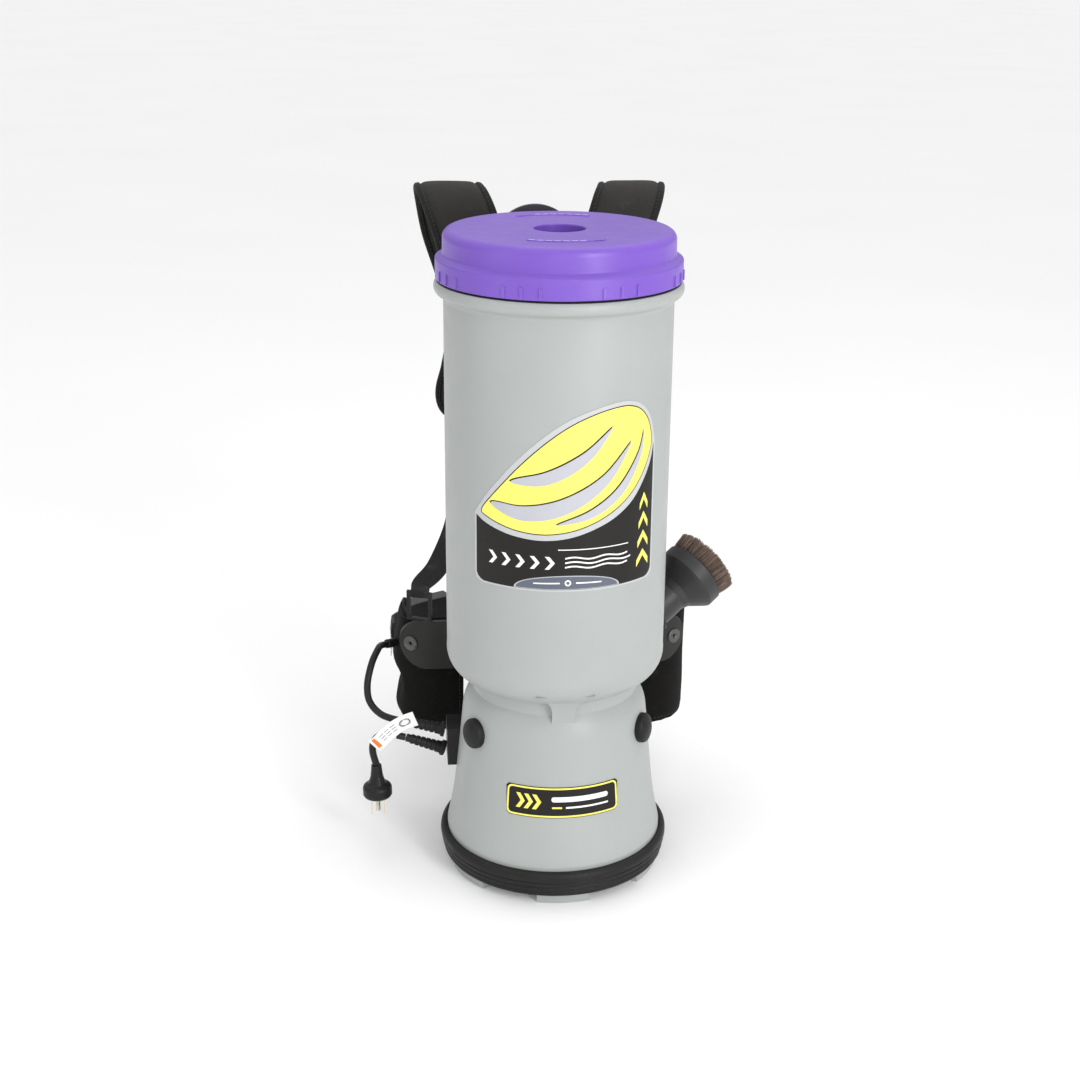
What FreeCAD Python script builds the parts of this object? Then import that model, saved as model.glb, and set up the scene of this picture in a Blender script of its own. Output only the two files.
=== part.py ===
import FreeCAD, Part
import math
import os
import Sketcher

# Backpack vacuum cleaner: a round tank with a twist-off lid above a bell-shaped
# motor housing, carried on a padded harness.  +Z is up, the origin is on the
# tank axis at floor level, the labelled front faces -Y and the harness is at +Y.
# "Left" is -X and "right" is +X.  Millimetres.

Vector = FreeCAD.Vector
Placement = FreeCAD.Placement
Rotation = FreeCAD.Rotation
Z_AXIS = Vector(0, 0, 1)
SIDES = (("left", -1.0), ("right", 1.0))

# Driving dimensions: _r is a radius, _z a height above the floor, _t a thickness,
# _w a width, _h a height of the part itself, _x and _y places along those axes.
DRIVING = dict(
    # tank and bell
    tank_r=108.0, tank_wall=3.0, tank_low_z=238.2, tank_top_z=582.5,
    bead_r=116.8, bead_top_z=600.5, mouth_r=108.5, mouth_top_z=617.0,
    ledge_z=592.0, floor_z=208.0, floor_t=4.0, intake_r=34.0,
    neck_r=83.0, bell_top_r=92.6, bell_top_z=168.0, bell_mid_r=100.0,
    bell_mid_z=95.0, bell_low_r=109.3, bell_low_z=35.0,
    # lid
    lid_top_z=648.0, lid_side_r=108.7, skirt_r=115.3, skirt_low_z=602.5,
    skirt_top_z=622.0, lid_wall=3.0, port_r=24.1, port_low_z=596.0,
    lug_span=18.0, lug_z=609.2, rib_w=2.4, rib_out_r=116.5,
    # base
    base_r=109.0, foot_h=9.5, base_t=3.5, bumper_r=116.5, bumper_in_r=109.4,
    bumper_top_z=41.7, screw_pcd_r=98.0, foot_r_out=108.0, foot_r_in=90.0,
    # filters
    filter_ring_r=103.8, filter_r=96.0, filter_low_z=248.0, bag_r=89.0,
    bag_low_z=256.0, collar_z=587.2,
    # motor
    fan_r=73.0, fan_low_z=152.0, fan_top_z=201.9, shaft_r=4.0,
    impeller_r=66.0, frame_r=49.0, armature_r=28.4, bearing_r=11.0,
    # labels
    label_t=0.45, plate_z0=90.0, plate_z1=122.5,
    # harness
    plate_y=118.0, plate_t=5.0, plate_half_w=84.0, plate_top_z=612.0,
    plate_low_z=140.0, wing_y=115.9, wing_t=4.0, wing_mid_z=185.5,
    wing_h=55.0, rivet_x=141.5, pad_low_z=78.0, pad_top_z=216.0,
    pad_t=14.0, strap_w=70.0, strap_t=12.0, web_w=25.0, web_t=1.8, belt_w=45.0,
    # cords, tools and knobs
    cord_r=3.6, plug_r=15.0, ground_pin_r=2.4, neck_tool_r=19.0, peg_r=16.0,
    knob_r=15.0, knob_z=158.0, knob_proud=10.0, knob_angle=61.6,
)


class Size:
    """A size that carries its value and the sheet expression it comes from."""

    def __init__(self, value, text):
        self.value = float(value)
        self.text = text

    def _join(self, sign, other, result):
        right = other.text if isinstance(other, Size) else repr(float(other))
        return Size(result, "(%s %s (%s))" % (self.text, sign, right))

    def __add__(self, other):
        return self._join("+", other, self.value + number(other))

    def __sub__(self, other):
        return self._join("-", other, self.value - number(other))

    def __mul__(self, other):
        return self._join("*", other, self.value * number(other))

    def __truediv__(self, other):
        return self._join("/", other, self.value / number(other))

    def __neg__(self):
        return self * -1.0


class Dimensions:
    """Holds one Size for each driving dimension."""


def number(size):
    return size.value if isinstance(size, Size) else float(size)


doc = FreeCAD.newDocument("backpack_vacuum")
sheet = doc.addObject("Spreadsheet::Sheet", "Dims")
dims = Dimensions()
for row, (alias, amount) in enumerate(DRIVING.items(), 1):
    sheet.set("A%d" % row, alias)
    sheet.set("B%d" % row, repr(amount))
    sheet.setAlias("B%d" % row, alias)
    setattr(dims, alias, Size(amount, "Dims." + alias))
doc.recompute()

nodes = []


def node(name, obj):
    """Label a finished piece and list it for export."""
    obj.Label = name
    nodes.append((name, obj))


# ---------------------------------------------------------------- sketches and bodies


def put(obj, prop, size):
    """Set a property, and bind it to the sheet when it is a sheet size."""
    setattr(obj, prop, number(size))
    if isinstance(size, Size):
        obj.setExpression(prop, size.text)


def dimension(sketch, size, *constraint):
    """Add a dimensional constraint, bound to the sheet when it is a sheet size."""
    index = sketch.addConstraint(Sketcher.Constraint(*constraint, number(size)))
    if isinstance(size, Size):
        sketch.setExpression("Constraints[%d]" % index, size.text)


def arc_between(start, end, radius, turn):
    """Arc from start to end, and the vertex numbers of its start and end."""
    along_x, along_y = end[0] - start[0], end[1] - start[1]
    half = math.hypot(along_x, along_y) / 2
    rise = math.sqrt(max(radius * radius - half * half, 0.0))
    centre_x = (start[0] + end[0]) / 2 - turn * along_y / (2 * half) * rise
    centre_y = (start[1] + end[1]) / 2 + turn * along_x / (2 * half) * rise
    low = math.atan2(start[1] - centre_y, start[0] - centre_x)
    high = math.atan2(end[1] - centre_y, end[0] - centre_x)
    if turn < 0:
        low, high = high, low
    while high < low:
        high += 2 * math.pi
    circle = Part.Circle(Vector(centre_x, centre_y, 0), Z_AXIS, radius)
    return Part.ArcOfCircle(circle, low, high), (1, 2) if turn > 0 else (2, 1)


def closed_profile(sketch, corners):
    """Closed outline of straight and arc sides; every corner is dimensioned.
    A corner is (x, y) or (x, y, radius, turn): turn +1 or -1 puts the centre of
    the arc that arrives at that corner to the left or right of the way."""
    following = corners[1:] + corners[:1]
    sides, ends = [], []
    for here, there in zip(corners, following):
        start = (number(here[0]), number(here[1]))
        end = (number(there[0]), number(there[1]))
        if len(there) > 2:
            side, order = arc_between(start, end, number(there[2]), there[3])
        else:
            side, order = Part.LineSegment(Vector(*start, 0), Vector(*end, 0)), (1, 2)
        sides.append(side)
        ends.append(order)
    first, count = sketch.GeometryCount, len(corners)
    sketch.addGeometry(sides, False)
    sketch.addConstraint([
        Sketcher.Constraint("Coincident", first + i, ends[i][1],
                            first + (i + 1) % count, ends[(i + 1) % count][0])
        for i in range(count)])
    for i in range(count):
        side, vertex = first + i, ends[i][0]
        # a corner on a sketch axis is held there; -2 is the vertical axis, -1 the horizontal
        for kind, size, axis in (("DistanceX", corners[i][0], -2), ("DistanceY", corners[i][1], -1)):
            if abs(number(size)) < 1e-9:
                sketch.addConstraint(Sketcher.Constraint("PointOnObject", side, vertex, axis))
            else:
                dimension(sketch, size, kind, -1, 1, side, vertex)
        if len(following[i]) > 2:
            dimension(sketch, following[i][2], "Radius", side)


def origin(body, role):
    return [f for f in body.Origin.OriginFeatures if f.Role == role][0]


def new_body(name):
    return doc.addObject("PartDesign::Body", name + "_body")


def sketch_on(body, role, outlines, offset=0.0):
    sketch = body.newObject("Sketcher::SketchObject", body.Name + "_sketch")
    sketch.AttachmentSupport = [(origin(body, role), "")]
    sketch.MapMode = "FlatFace"
    if number(offset):
        sketch.AttachmentOffset = Placement(Vector(0, 0, number(offset)), Rotation())
        if isinstance(offset, Size):
            sketch.setExpression("AttachmentOffset.Base.z", offset.text)
    for outline in outlines:
        closed_profile(sketch, outline)
    return sketch


def revolve_on(body, outline):
    """Full turn about Z of an outline given as (radius, z)."""
    sketch = sketch_on(body, "XZ_Plane", [outline])
    feature = body.newObject("PartDesign::Revolution", body.Name + "_turn")
    feature.Profile = sketch
    feature.ReferenceAxis = (sketch, ["V_Axis"])
    feature.Angle = 360.0


def extrude_on(kind, body, role, outlines, length, offset, midplane):
    sketch = sketch_on(body, role, outlines, offset)
    feature = body.newObject("PartDesign::" + kind, body.Name + "_" + kind.lower())
    feature.Profile = sketch
    put(feature, "Length", length)
    feature.Midplane = midplane
    return feature


def pad_on(body, role, outlines, length, offset=0.0, midplane=False):
    """Pad along the plane's normal, which is -Y for the XZ plane."""
    return extrude_on("Pad", body, role, outlines, length, offset, midplane)


def pocket_on(body, role, outlines, length, offset):
    """Pocket of that length, half of it on each side of the sketch."""
    return extrude_on("Pocket", body, role, outlines, length, offset, True)


def around(body, feature, count):
    """Repeat a feature evenly about Z."""
    pattern = body.newObject("PartDesign::PolarPattern", body.Name + "_round")
    pattern.Originals = [feature]
    pattern.Axis = (origin(body, "Z_Axis"), [""])
    pattern.Angle = 360
    pattern.Occurrences = count
    body.Tip = pattern


def turned(name, outline):
    body = new_body(name)
    revolve_on(body, outline)
    return body


def ring(name, r_out, r_in, z_low, z_high):
    return turned(name, [(r_in, z_low), (r_out, z_low), (r_out, z_high), (r_in, z_high)])


def slab(name, role, outline, length, offset=0.0, midplane=False):
    body = new_body(name)
    pad_on(body, role, [outline], length, offset, midplane)
    return body


# ---------------------------------------------------------------- primitives and booleans


def pointing(direction):
    return Rotation(Z_AXIS, Vector(*direction))


def placed(obj, position, rotation):
    obj.Placement = Placement(position, rotation)
    return obj


def prim(kind, name, sizes, position, rotation):
    obj = doc.addObject("Part::" + kind, name)
    for prop, size in sizes.items():
        put(obj, prop, size)
    placed(obj, Vector(*[number(p) for p in position]), rotation)
    for axis, place in zip("xyz", position):
        if isinstance(place, Size):
            obj.setExpression("Placement.Base." + axis, place.text)
    return obj


def box(name, size, corner=(0, 0, 0)):
    sizes = dict(zip(("Length", "Width", "Height"), size))
    return prim("Box", name, sizes, corner, Rotation())


def cylinder(name, radius, height, start=(0, 0, 0), direction=(0, 0, 1)):
    return prim("Cylinder", name, {"Radius": radius, "Height": height}, start, pointing(direction))


def box_in(frame, name, size, corner):
    """Box whose corner and sides are given in a placed frame."""
    obj = box(name, size)
    obj.Placement = frame.multiply(Placement(Vector(*corner), Rotation()))
    return obj


def about_z(degrees):
    return Placement(Vector(0, 0, 0), Rotation(Z_AXIS, degrees))


def cut(name, base, tool):
    obj = doc.addObject("Part::Cut", name)
    obj.Base = base
    obj.Tool = tool
    return obj


def fuse(name, shapes):
    obj = doc.addObject("Part::MultiFuse", name)
    obj.Shapes = shapes
    return obj


def common(name, shapes):
    obj = doc.addObject("Part::MultiCommon", name)
    obj.Shapes = shapes
    return obj


def group(name, shapes):
    obj = doc.addObject("Part::Compound", name)
    obj.Links = shapes
    return obj


def free_shape(name, shape):
    obj = doc.addObject("Part::Feature", name)
    obj.Shape = shape
    return obj


def polar(radius, degrees):
    angle = math.radians(degrees)
    return (radius * math.cos(angle), radius * math.sin(angle))


def curve_through(points):
    curve = Part.BSplineCurve()
    curve.interpolate(points)
    return curve


# ---------------------------------------------------------------- tank shell
# six screws join the base cover to posts inside the bell
SCREW_SPOTS = [polar(dims.screw_pcd_r, -60.0 + 60.0 * k) for k in range(6)]


def shell_core():
    """Bell, neck, tank wall, bead and mouth: up the outside, then down the inside."""
    wall = dims.tank_wall
    floor_top = dims.floor_z + dims.floor_t
    low_in_r = dims.bell_low_r - wall - 0.3
    return turned("shell_core", [
        (dims.bell_low_r, dims.bell_low_z),
        (dims.bell_low_r, dims.bell_low_z + 5.0),
        (dims.bell_mid_r, dims.bell_mid_z, 420.0, -1),
        (dims.bell_top_r, dims.bell_top_z),
        (dims.neck_r + 2.0, 189.0, 40.0, 1),
        (dims.neck_r, 192.0),
        (dims.neck_r, 203.0),
        (dims.neck_r + 1.8, 206.6),
        (dims.tank_r, dims.tank_low_z, 27.75, 1),
        (dims.tank_r, dims.tank_top_z),
        (dims.tank_r + 4.0, dims.tank_top_z + 5.5, 6.5, -1),
        (dims.bead_r, dims.bead_top_z - 6.2, 7.0, 1),
        (dims.bead_r - 2.3, dims.bead_top_z, 6.6, 1),
        (dims.bead_r - 4.3, dims.bead_top_z),
        (dims.bead_r - 5.6, dims.bead_top_z - 2.2),
        (dims.mouth_r, dims.bead_top_z - 2.2),
        (dims.mouth_r, dims.mouth_top_z),
        (dims.mouth_r - 3.5, dims.mouth_top_z),
        (dims.mouth_r - 3.5, dims.ledge_z),
        (dims.mouth_r - 5.5, dims.ledge_z - 2.0),
        (dims.tank_r - wall, dims.ledge_z - 5.0),
        (dims.tank_r - wall, dims.tank_low_z - 0.2),
        (91.85, floor_top, 24.75, -1),
        (dims.intake_r, floor_top),
        (dims.intake_r, dims.floor_z),
        (dims.neck_r - wall, dims.floor_z),
        (dims.neck_r - wall, 190.0),
        (dims.neck_r - 1.2, 187.0),
        (dims.bell_top_r - wall, dims.bell_top_z, 36.0, -1),
        (dims.bell_mid_r - wall, dims.bell_mid_z),
        (low_in_r, dims.bell_low_z + 5.0, 423.0, 1),
        (low_in_r, dims.bell_low_z),
    ])


def neck_gusset():
    """Gusset that bridges the neck at the front: its side view meets its front view."""
    side_view = slab("gusset_side", "YZ_Plane", [
        (-79.5, 180.5), (-86.2, 180.5), (-103.7, 221.0, 64.0, 1),
        (-98.6, 221.0), (-92.3, 212.2), (-79.5, 206.0)], 60.0, midplane=True)
    front_view = slab("gusset_front", "XZ_Plane", [
        (-30.0, 223.0), (-27.5, 220.0), (-11.5, 200.0, 24.0, -1), (-12.5, 180.0, 60.0, -1),
        (12.5, 180.0), (11.5, 200.0, 60.0, -1), (27.5, 220.0, 24.0, -1), (30.0, 223.0)],
        60.0, 60.0)
    return common("gusset", [side_view, front_view])


def mouth_lug(k):
    """Piece of a ring outside the mouth."""
    whole = ring("mouth_lug_%d" % k, dims.mouth_r + 3.2, dims.mouth_r - 1.0,
                 dims.lug_z, dims.lug_z + 3.5)
    block = box_in(about_z(90.0 * k + 45.0), "mouth_lug_block_%d" % k,
                   (20.0, dims.lug_span, 10.0),
                   (100.0, -number(dims.lug_span) / 2, number(dims.lug_z) - 3.0))
    return common("mouth_lug_part_%d" % k, [whole, block])


def shell_boss(k, x, y):
    post = cylinder("shell_post_%d" % k, 6.0, 27.0, (x, y, dims.bell_low_z + 0.2))
    hole = cylinder("shell_post_hole_%d" % k, 2.1, 20.0, (x, y, dims.bell_low_z - 1.0))
    return cut("shell_boss_%d" % k, post, hole)


def solid_bell():
    """The bell filled in and a little larger, to cut what sits against it."""
    gap = 0.05
    return turned("bell_envelope", [
        (0, 20.0),
        (dims.bell_low_r + gap, 20.0),
        (dims.bell_low_r + gap, dims.bell_low_z + 5.0),
        (dims.bell_mid_r + gap, dims.bell_mid_z, 420.0, -1),
        (dims.bell_top_r + gap, dims.bell_top_z),
        (dims.neck_r + 2.0 + gap, 189.0, 40.0, 1),
        (0, 189.0),
    ])


node("tank_shell", fuse("tank_shell_fuse", (
    [shell_core(), neck_gusset()]
    + [mouth_lug(k) for k in range(4)]
    + [shell_boss(k, x, y) for k, (x, y) in enumerate(SCREW_SPOTS)])))
bell_envelope = solid_bell()


# ---------------------------------------------------------------- lid


def radial_block(inner, outer, half_width, degrees):
    """Rectangle that runs outward from the axis at an angle."""
    angle = math.radians(degrees)
    cosine, sine = math.cos(angle), math.sin(angle)
    return [(reach * cosine + half_width * (side * sine),
             reach * sine - half_width * (side * cosine))
            for reach, side in ((inner, 1), (outer, 1), (outer, -1), (inner, -1))]


def arc_arrow(radius, start, stop, half_width, head):
    """A curved arrow along a circle, drawn with short straight sides; angles in degrees."""
    angles = [start + (stop - start) * step / 8 for step in range(9)]
    barb = 2.2 * half_width
    return ([polar(radius + half_width, angle) for angle in angles]
            + [polar(radius + barb, stop), polar(radius, stop + head), polar(radius - barb, stop)]
            + [polar(radius - half_width, angle) for angle in reversed(angles)])


def make_lid():
    lid = new_body("lid")
    side_in_r = dims.lid_side_r - 3.2
    skirt_in_r = dims.skirt_r - dims.lid_wall
    revolve_on(lid, [
        (dims.skirt_r - 1.0, dims.skirt_low_z),
        (dims.skirt_r, dims.skirt_low_z + 1.0, 1.0, 1),
        (dims.skirt_r, dims.skirt_top_z - 1.5),
        (dims.skirt_r - 1.6, dims.skirt_top_z + 0.6, 2.0, 1),
        (dims.lid_side_r + 0.8, dims.skirt_top_z + 3.2),
        (dims.lid_side_r, dims.skirt_top_z + 5.0, 2.4, -1),
        (dims.lid_side_r - 0.3, dims.lid_top_z - 8.6),
        (dims.lid_side_r - 8.2, dims.lid_top_z, 8.3, 1),
        (dims.port_r + 1.5, dims.lid_top_z),
        (dims.port_r, dims.lid_top_z - 1.5, 1.5, 1),
        (dims.port_r, dims.port_low_z),
        (dims.port_r + 3.0, dims.port_low_z),
        (dims.port_r + 3.0, dims.lid_top_z - dims.lid_wall),
        (dims.lid_side_r - 9.0, dims.lid_top_z - dims.lid_wall),
        (side_in_r, dims.lid_top_z - 9.0, 6.2, -1),
        (side_in_r, dims.skirt_top_z - 1.0),
        (skirt_in_r, dims.skirt_top_z - 1.0),
        (skirt_in_r, dims.skirt_low_z),
    ])
    # eight groups of three grip ribs on the skirt
    ribs = pad_on(lid, "XY_Plane", [
        radial_block(dims.skirt_r - 1.2, dims.rib_out_r, dims.rib_w / 2, -67.5 + turn)
        for turn in (-8.5, 0.0, 8.5)], 9.5, dims.skirt_low_z + 1.5)
    around(lid, ribs, 8)
    # lugs inside the skirt, below those of the mouth
    lug = pad_on(lid, "XY_Plane", [
        radial_block(dims.mouth_r + 1.3, dims.skirt_r - 1.6, dims.lug_span / 2, 45.0)],
        3.0, dims.skirt_low_z + 0.7)
    around(lid, lug, 4)
    pad_on(lid, "XY_Plane", [arc_arrow(76.0, start, start + 50.0, 1.7, 5.0)
                             for start in (-118.0, 62.0)], 1.4, dims.lid_top_z - 0.6)
    return lid


node("lid", make_lid())
node("lid_gasket", ring("lid_gasket", dims.mouth_r + 1.1, dims.mouth_r - 2.6,
                        dims.mouth_top_z + 0.1, dims.skirt_top_z - 1.1))


# ---------------------------------------------------------------- base


def base_cover():
    """Tray on six feet, with screw posts and a ring of vents."""
    tray_z = dims.foot_h + dims.base_t
    rim_z = dims.bell_low_z - 0.2
    base = turned("base_cover", [
        (0.0, 0.0), (16.0, 0.0), (16.0, dims.foot_h), (dims.base_r, dims.foot_h),
        (dims.base_r, rim_z), (dims.base_r - 3.0, rim_z), (dims.base_r - 3.0, tray_z),
        (58.0, tray_z), (58.0, 34.0), (42.0, 34.0), (42.0, tray_z), (0.0, tray_z)])
    foot_ring = ring("foot_ring", dims.foot_r_out, dims.foot_r_in, 0.0, dims.foot_h + 0.4)
    feet = []
    for k in range(6):
        block = box_in(about_z(-90.0 + 60.0 * k), "foot_block_%d" % k,
                       (40.0, 52.0, 20.0), (80.0, -26.0, -5.0))
        feet.append(common("foot_%d" % k, [foot_ring, block]))
    posts, drills = [], []
    below = dims.foot_h - 1.0
    for k, (x, y) in enumerate(SCREW_SPOTS):
        posts.append(cylinder("base_post_%d" % k, 6.3, 25.3, (x, y, dims.foot_h)))
        drills.append(cylinder("base_head_hole_%d" % k, 4.3, 19.0, (x, y, below)))
        drills.append(cylinder("base_shank_hole_%d" % k, 2.2, 40.0, (x, y, below)))
    vents = [box_in(about_z(15.0 * k), "vent_%d" % k, (20.0, 4.0, 12.0),
                    (63.0, -2.0, number(dims.foot_h) - 4.0)) for k in range(24)]
    return cut("base_drilled", fuse("base_full", [base] + feet + posts),
               fuse("base_holes", drills + vents))


def bumper_ring():
    """Rubber ring round the base with five V grooves."""
    edge, low, top = dims.bumper_r, dims.foot_h, dims.bumper_top_z
    outline = [(dims.bumper_in_r, low), (edge - 2.0, low), (edge, low + 2.0, 2.0, 1)]
    for z in (15.0, 19.6, 24.2, 28.8, 33.2):
        outline += [(edge, z - 0.9), (edge - 1.4, z), (edge, z + 0.9)]
    outline += [(edge, top - 3.6), (edge - 3.2, top, 3.5, 1), (dims.bumper_in_r, top)]
    return turned("bumper_ring", outline)


def base_screw(k, x, y):
    """Slotted screw, head down."""
    head = cylinder("base_screw_head_%d" % k, 4.0, 3.0, (x, y, 24.4))
    slot = box("base_screw_slot_%d" % k, (6.0, 1.0, 1.5), (x - 3.0, y - 0.5, 23.9))
    shank = cylinder("base_screw_shank_%d" % k, 2.0, 22.0, (x, y, 27.0))
    return fuse("base_screw_%d" % k, [cut("base_screw_cap_%d" % k, head, slot), shank])


node("base_cover", base_cover())
node("bumper_ring", bumper_ring())
node("base_screws", group("base_screw_group", [
    base_screw(k, x, y) for k, (x, y) in enumerate(SCREW_SPOTS)]))

# ---------------------------------------------------------------- labels
# outline of the front label: angle round the tank from the front in degrees, height
LABEL_EDGE = [
    (-46.0, 330.5), (-48.6, 332.2), (-50.0, 334.8), (-50.5, 338.0), (-50.5, 398.0),
    (-48.1, 404.2), (-45.7, 410.2), (-43.2, 416.7), (-40.0, 424.0), (-36.0, 432.9),
    (-31.5, 442.9), (-26.7, 452.9), (-22.0, 462.0), (-17.5, 470.1), (-12.9, 477.6),
    (-8.4, 484.3), (-4.0, 490.0), (0.2, 494.5), (4.2, 497.9), (8.1, 500.7),
    (12.0, 503.0), (15.9, 505.0), (19.8, 506.6), (23.6, 507.6), (27.0, 508.0),
    (30.1, 507.7), (32.9, 506.8), (35.6, 505.2), (38.0, 503.0), (40.3, 500.2),
    (42.4, 496.8), (44.3, 492.8), (46.0, 488.0), (47.4, 482.3), (48.5, 475.7),
    (49.5, 468.8), (50.5, 462.0), (50.5, 338.0), (50.0, 334.8), (48.6, 332.2),
    (46.0, 330.5),
]


def front_label():
    inside_r = dims.tank_r + 0.05
    sleeve = ring("label_ring", inside_r + dims.label_t, inside_r, 320.0, 520.0)
    front_view = slab("label_shape", "XZ_Plane", [
        (dims.tank_r * math.sin(math.radians(angle)), z) for angle, z in LABEL_EDGE], 160.0)
    return common("front_label_cut", [sleeve, front_view])


def rating_plate():
    """Thin plate with cut corners on the front of the bell."""
    low, high = dims.plate_z0, dims.plate_z1
    cone = turned("rating_ring", [(100.75, low), (101.2, low), (97.85, high), (97.35, high)])
    front_view = slab("rating_shape", "XZ_Plane", [
        (-52.0, low + 0.5), (-54.5, low + 3.0), (-54.5, high - 3.0), (-52.0, high - 0.5),
        (52.0, high - 0.5), (54.5, high - 3.0), (54.5, low + 3.0), (52.0, low + 0.5)], 160.0)
    return common("rating_plate_cut", [cone, front_view])


node("front_label", front_label())
node("rating_plate", rating_plate())


# ---------------------------------------------------------------- rubber knobs


def rubber_knob(side, sign):
    """Knob on the bell, pointing outward and slightly up."""
    knob = turned("knob_" + side, [
        (0, -6.0), (dims.knob_r - 1.5, -6.0), (dims.knob_r, -4.0), (dims.knob_r, 3.0),
        (dims.knob_r - 2.2, 7.0, 5.0, 1), (3.0, dims.knob_proud, 28.0, 1),
        (0, dims.knob_proud)])
    angle = -90.0 + sign * number(dims.knob_angle)
    seat = polar(number(dims.bell_top_r) + 1.0, angle)
    placed(knob, Vector(*seat, number(dims.knob_z)), pointing((*polar(1.0, angle), 0.1)))
    return cut("knob_cut_" + side, knob, bell_envelope)


node("rubber_knobs", group("rubber_knob_group", [rubber_knob(*side) for side in SIDES]))


# ---------------------------------------------------------------- filters


def cloth_filter():
    """Open cup of cloth, hung from the ring on the tank's ledge."""
    radius, low, top = dims.filter_r, dims.filter_low_z, dims.ledge_z - 0.1
    return turned("cloth_filter", [
        (0, low), (radius - 10.0, low), (radius, low + 10.0, 10.0, 1), (radius, top),
        (radius - 2.0, top), (radius - 2.0, low + 10.0),
        (radius - 10.0, low + 2.0, 8.0, -1), (0, low + 2.0)])


def filter_bag():
    radius, low, collar = dims.bag_r, dims.bag_low_z, dims.collar_z
    return turned("filter_bag", [
        (0, low), (radius - 12.0, low), (radius, low + 14.0, 14.0, 1),
        (radius, collar - 12.0), (62.0, collar - 0.1), (28.0, collar - 0.1),
        (28.0, collar - 1.4), (61.6, collar - 1.4), (radius - 1.3, collar - 12.8),
        (radius - 1.3, low + 14.4), (radius - 12.4, low + 1.3, 13.0, -1), (0, low + 1.3)])


def bag_collar():
    """Flange on the bag with a spout that reaches up to the lid's port."""
    low = dims.collar_z
    flange, spout = low + 3.0, dims.port_low_z - 0.3
    return turned("bag_collar", [
        (28.0, low), (58.0, low), (58.0, flange), (34.0, flange), (32.0, spout),
        (25.0, spout), (25.0, dims.port_low_z - 3.0), (28.0, flange)])


node("cloth_filter_ring", ring("cloth_filter_ring", dims.filter_ring_r, 90.0,
                               dims.ledge_z + 0.05, dims.ledge_z + 6.0))
node("cloth_filter", cloth_filter())
node("filter_bag", filter_bag())
node("bag_collar", bag_collar())
node("dome_filter", turned("dome_filter", [
    (0, 238.5), (28.0, 235.0), (46.5, 218.0, 28.0, -1), (46.5, 212.15),
    (52.0, 212.15), (52.0, 219.0), (30.0, 240.0, 34.0, 1), (0, 244.0)]))
node("inlet_gasket", ring("inlet_gasket", 74.0, 38.0, dims.fan_top_z + 0.1, dims.floor_z - 0.1))

# ---------------------------------------------------------------- fan
IMPELLER_BORE = dims.shaft_r + 0.04


def fan_housing():
    """Cap over the fan, open below, with an eye in its top."""
    radius, low, top = dims.fan_r, dims.fan_low_z, dims.fan_top_z
    return turned("fan_housing", [
        (radius, low), (radius, top - 4.0), (radius - 4.0, top, 4.0, 1), (26.0, top),
        (26.0, top - 1.5), (radius - 4.0, top - 1.5), (radius - 1.5, top - 4.0, 2.5, -1),
        (radius - 1.5, low)])


def vane_outline():
    """Spiral vane that thins toward its tip."""
    leading, trailing = [], []
    for step in range(9):
        along = step / 8.0
        radius, angle = 15.0 + 50.0 * along, 0.9 * along
        back = angle + 0.02 + 0.07 * (1 - along)
        leading.append((radius * math.cos(angle), radius * math.sin(angle)))
        trailing.append((radius * math.cos(back), radius * math.sin(back)))
    return leading + trailing[::-1]


def impeller(name, low, hub_top):
    """Disc with a hub, seven vanes and a shroud ring on top of them."""
    body = new_body("impeller_" + name)
    outer = dims.impeller_r
    revolve_on(body, [
        (IMPELLER_BORE, low), (outer, low), (outer, low + 1.2), (9.0, low + 1.2),
        (9.0, hub_top), (IMPELLER_BORE, hub_top)])
    vane = pad_on(body, "XY_Plane", [vane_outline()], 8.4, low + 1.0)
    around(body, vane, 7)
    revolve_on(body, [(24.0, low + 9.2), (outer, low + 9.2),
                      (outer, low + 10.2), (24.0, low + 10.2)])
    return body


def diffuser():
    body = turned("diffuser", [(22.0, 177.0), (71.3, 177.0), (71.3, 178.5), (22.0, 178.5)])
    vane = pad_on(body, "XY_Plane", [[
        (26.0, 0.0), (48.0, 12.0), (68.0, 10.0), (68.0, 12.0), (47.0, 14.0), (25.0, 2.0)]],
        5.0, 178.4)
    around(body, vane, 10)
    return body


def impeller_nut():
    hexagon = [polar(6.5, 60 * k) for k in range(6)]
    return cut("impeller_nut_cut", slab("nut_block", "XY_Plane", hexagon, 4.5, 197.1),
               cylinder("nut_hole", IMPELLER_BORE, 20.0, (0, 0, 190.0)))


node("fan_housing", fan_housing())
# the lower hub reaches up to the upper wheel
node("impellers", group("impeller_group", [
    impeller("upper", 186.0, 197.0), impeller("lower", 163.0, 185.9)]))
node("diffuser", diffuser())
node("impeller_nut", impeller_nut())

# ---------------------------------------------------------------- motor
SHAFT_BORE = dims.shaft_r + 0.03
BEARING_SEAT = dims.bearing_r + 0.03


def motor_end_plate():
    body = turned("motor_end_plate", [
        (BEARING_SEAT, 144.0), (16.0, 144.0), (16.0, 147.5), (dims.fan_r, 147.5),
        (dims.fan_r, 151.9), (BEARING_SEAT, 151.9)])
    window = pocket_on(body, "XY_Plane", [[
        (30.0, -7.0), (43.0, -9.0), (43.0, 9.0), (30.0, 7.0)]], 60.0, 149.0)
    around(body, window, 4)
    return body


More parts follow.
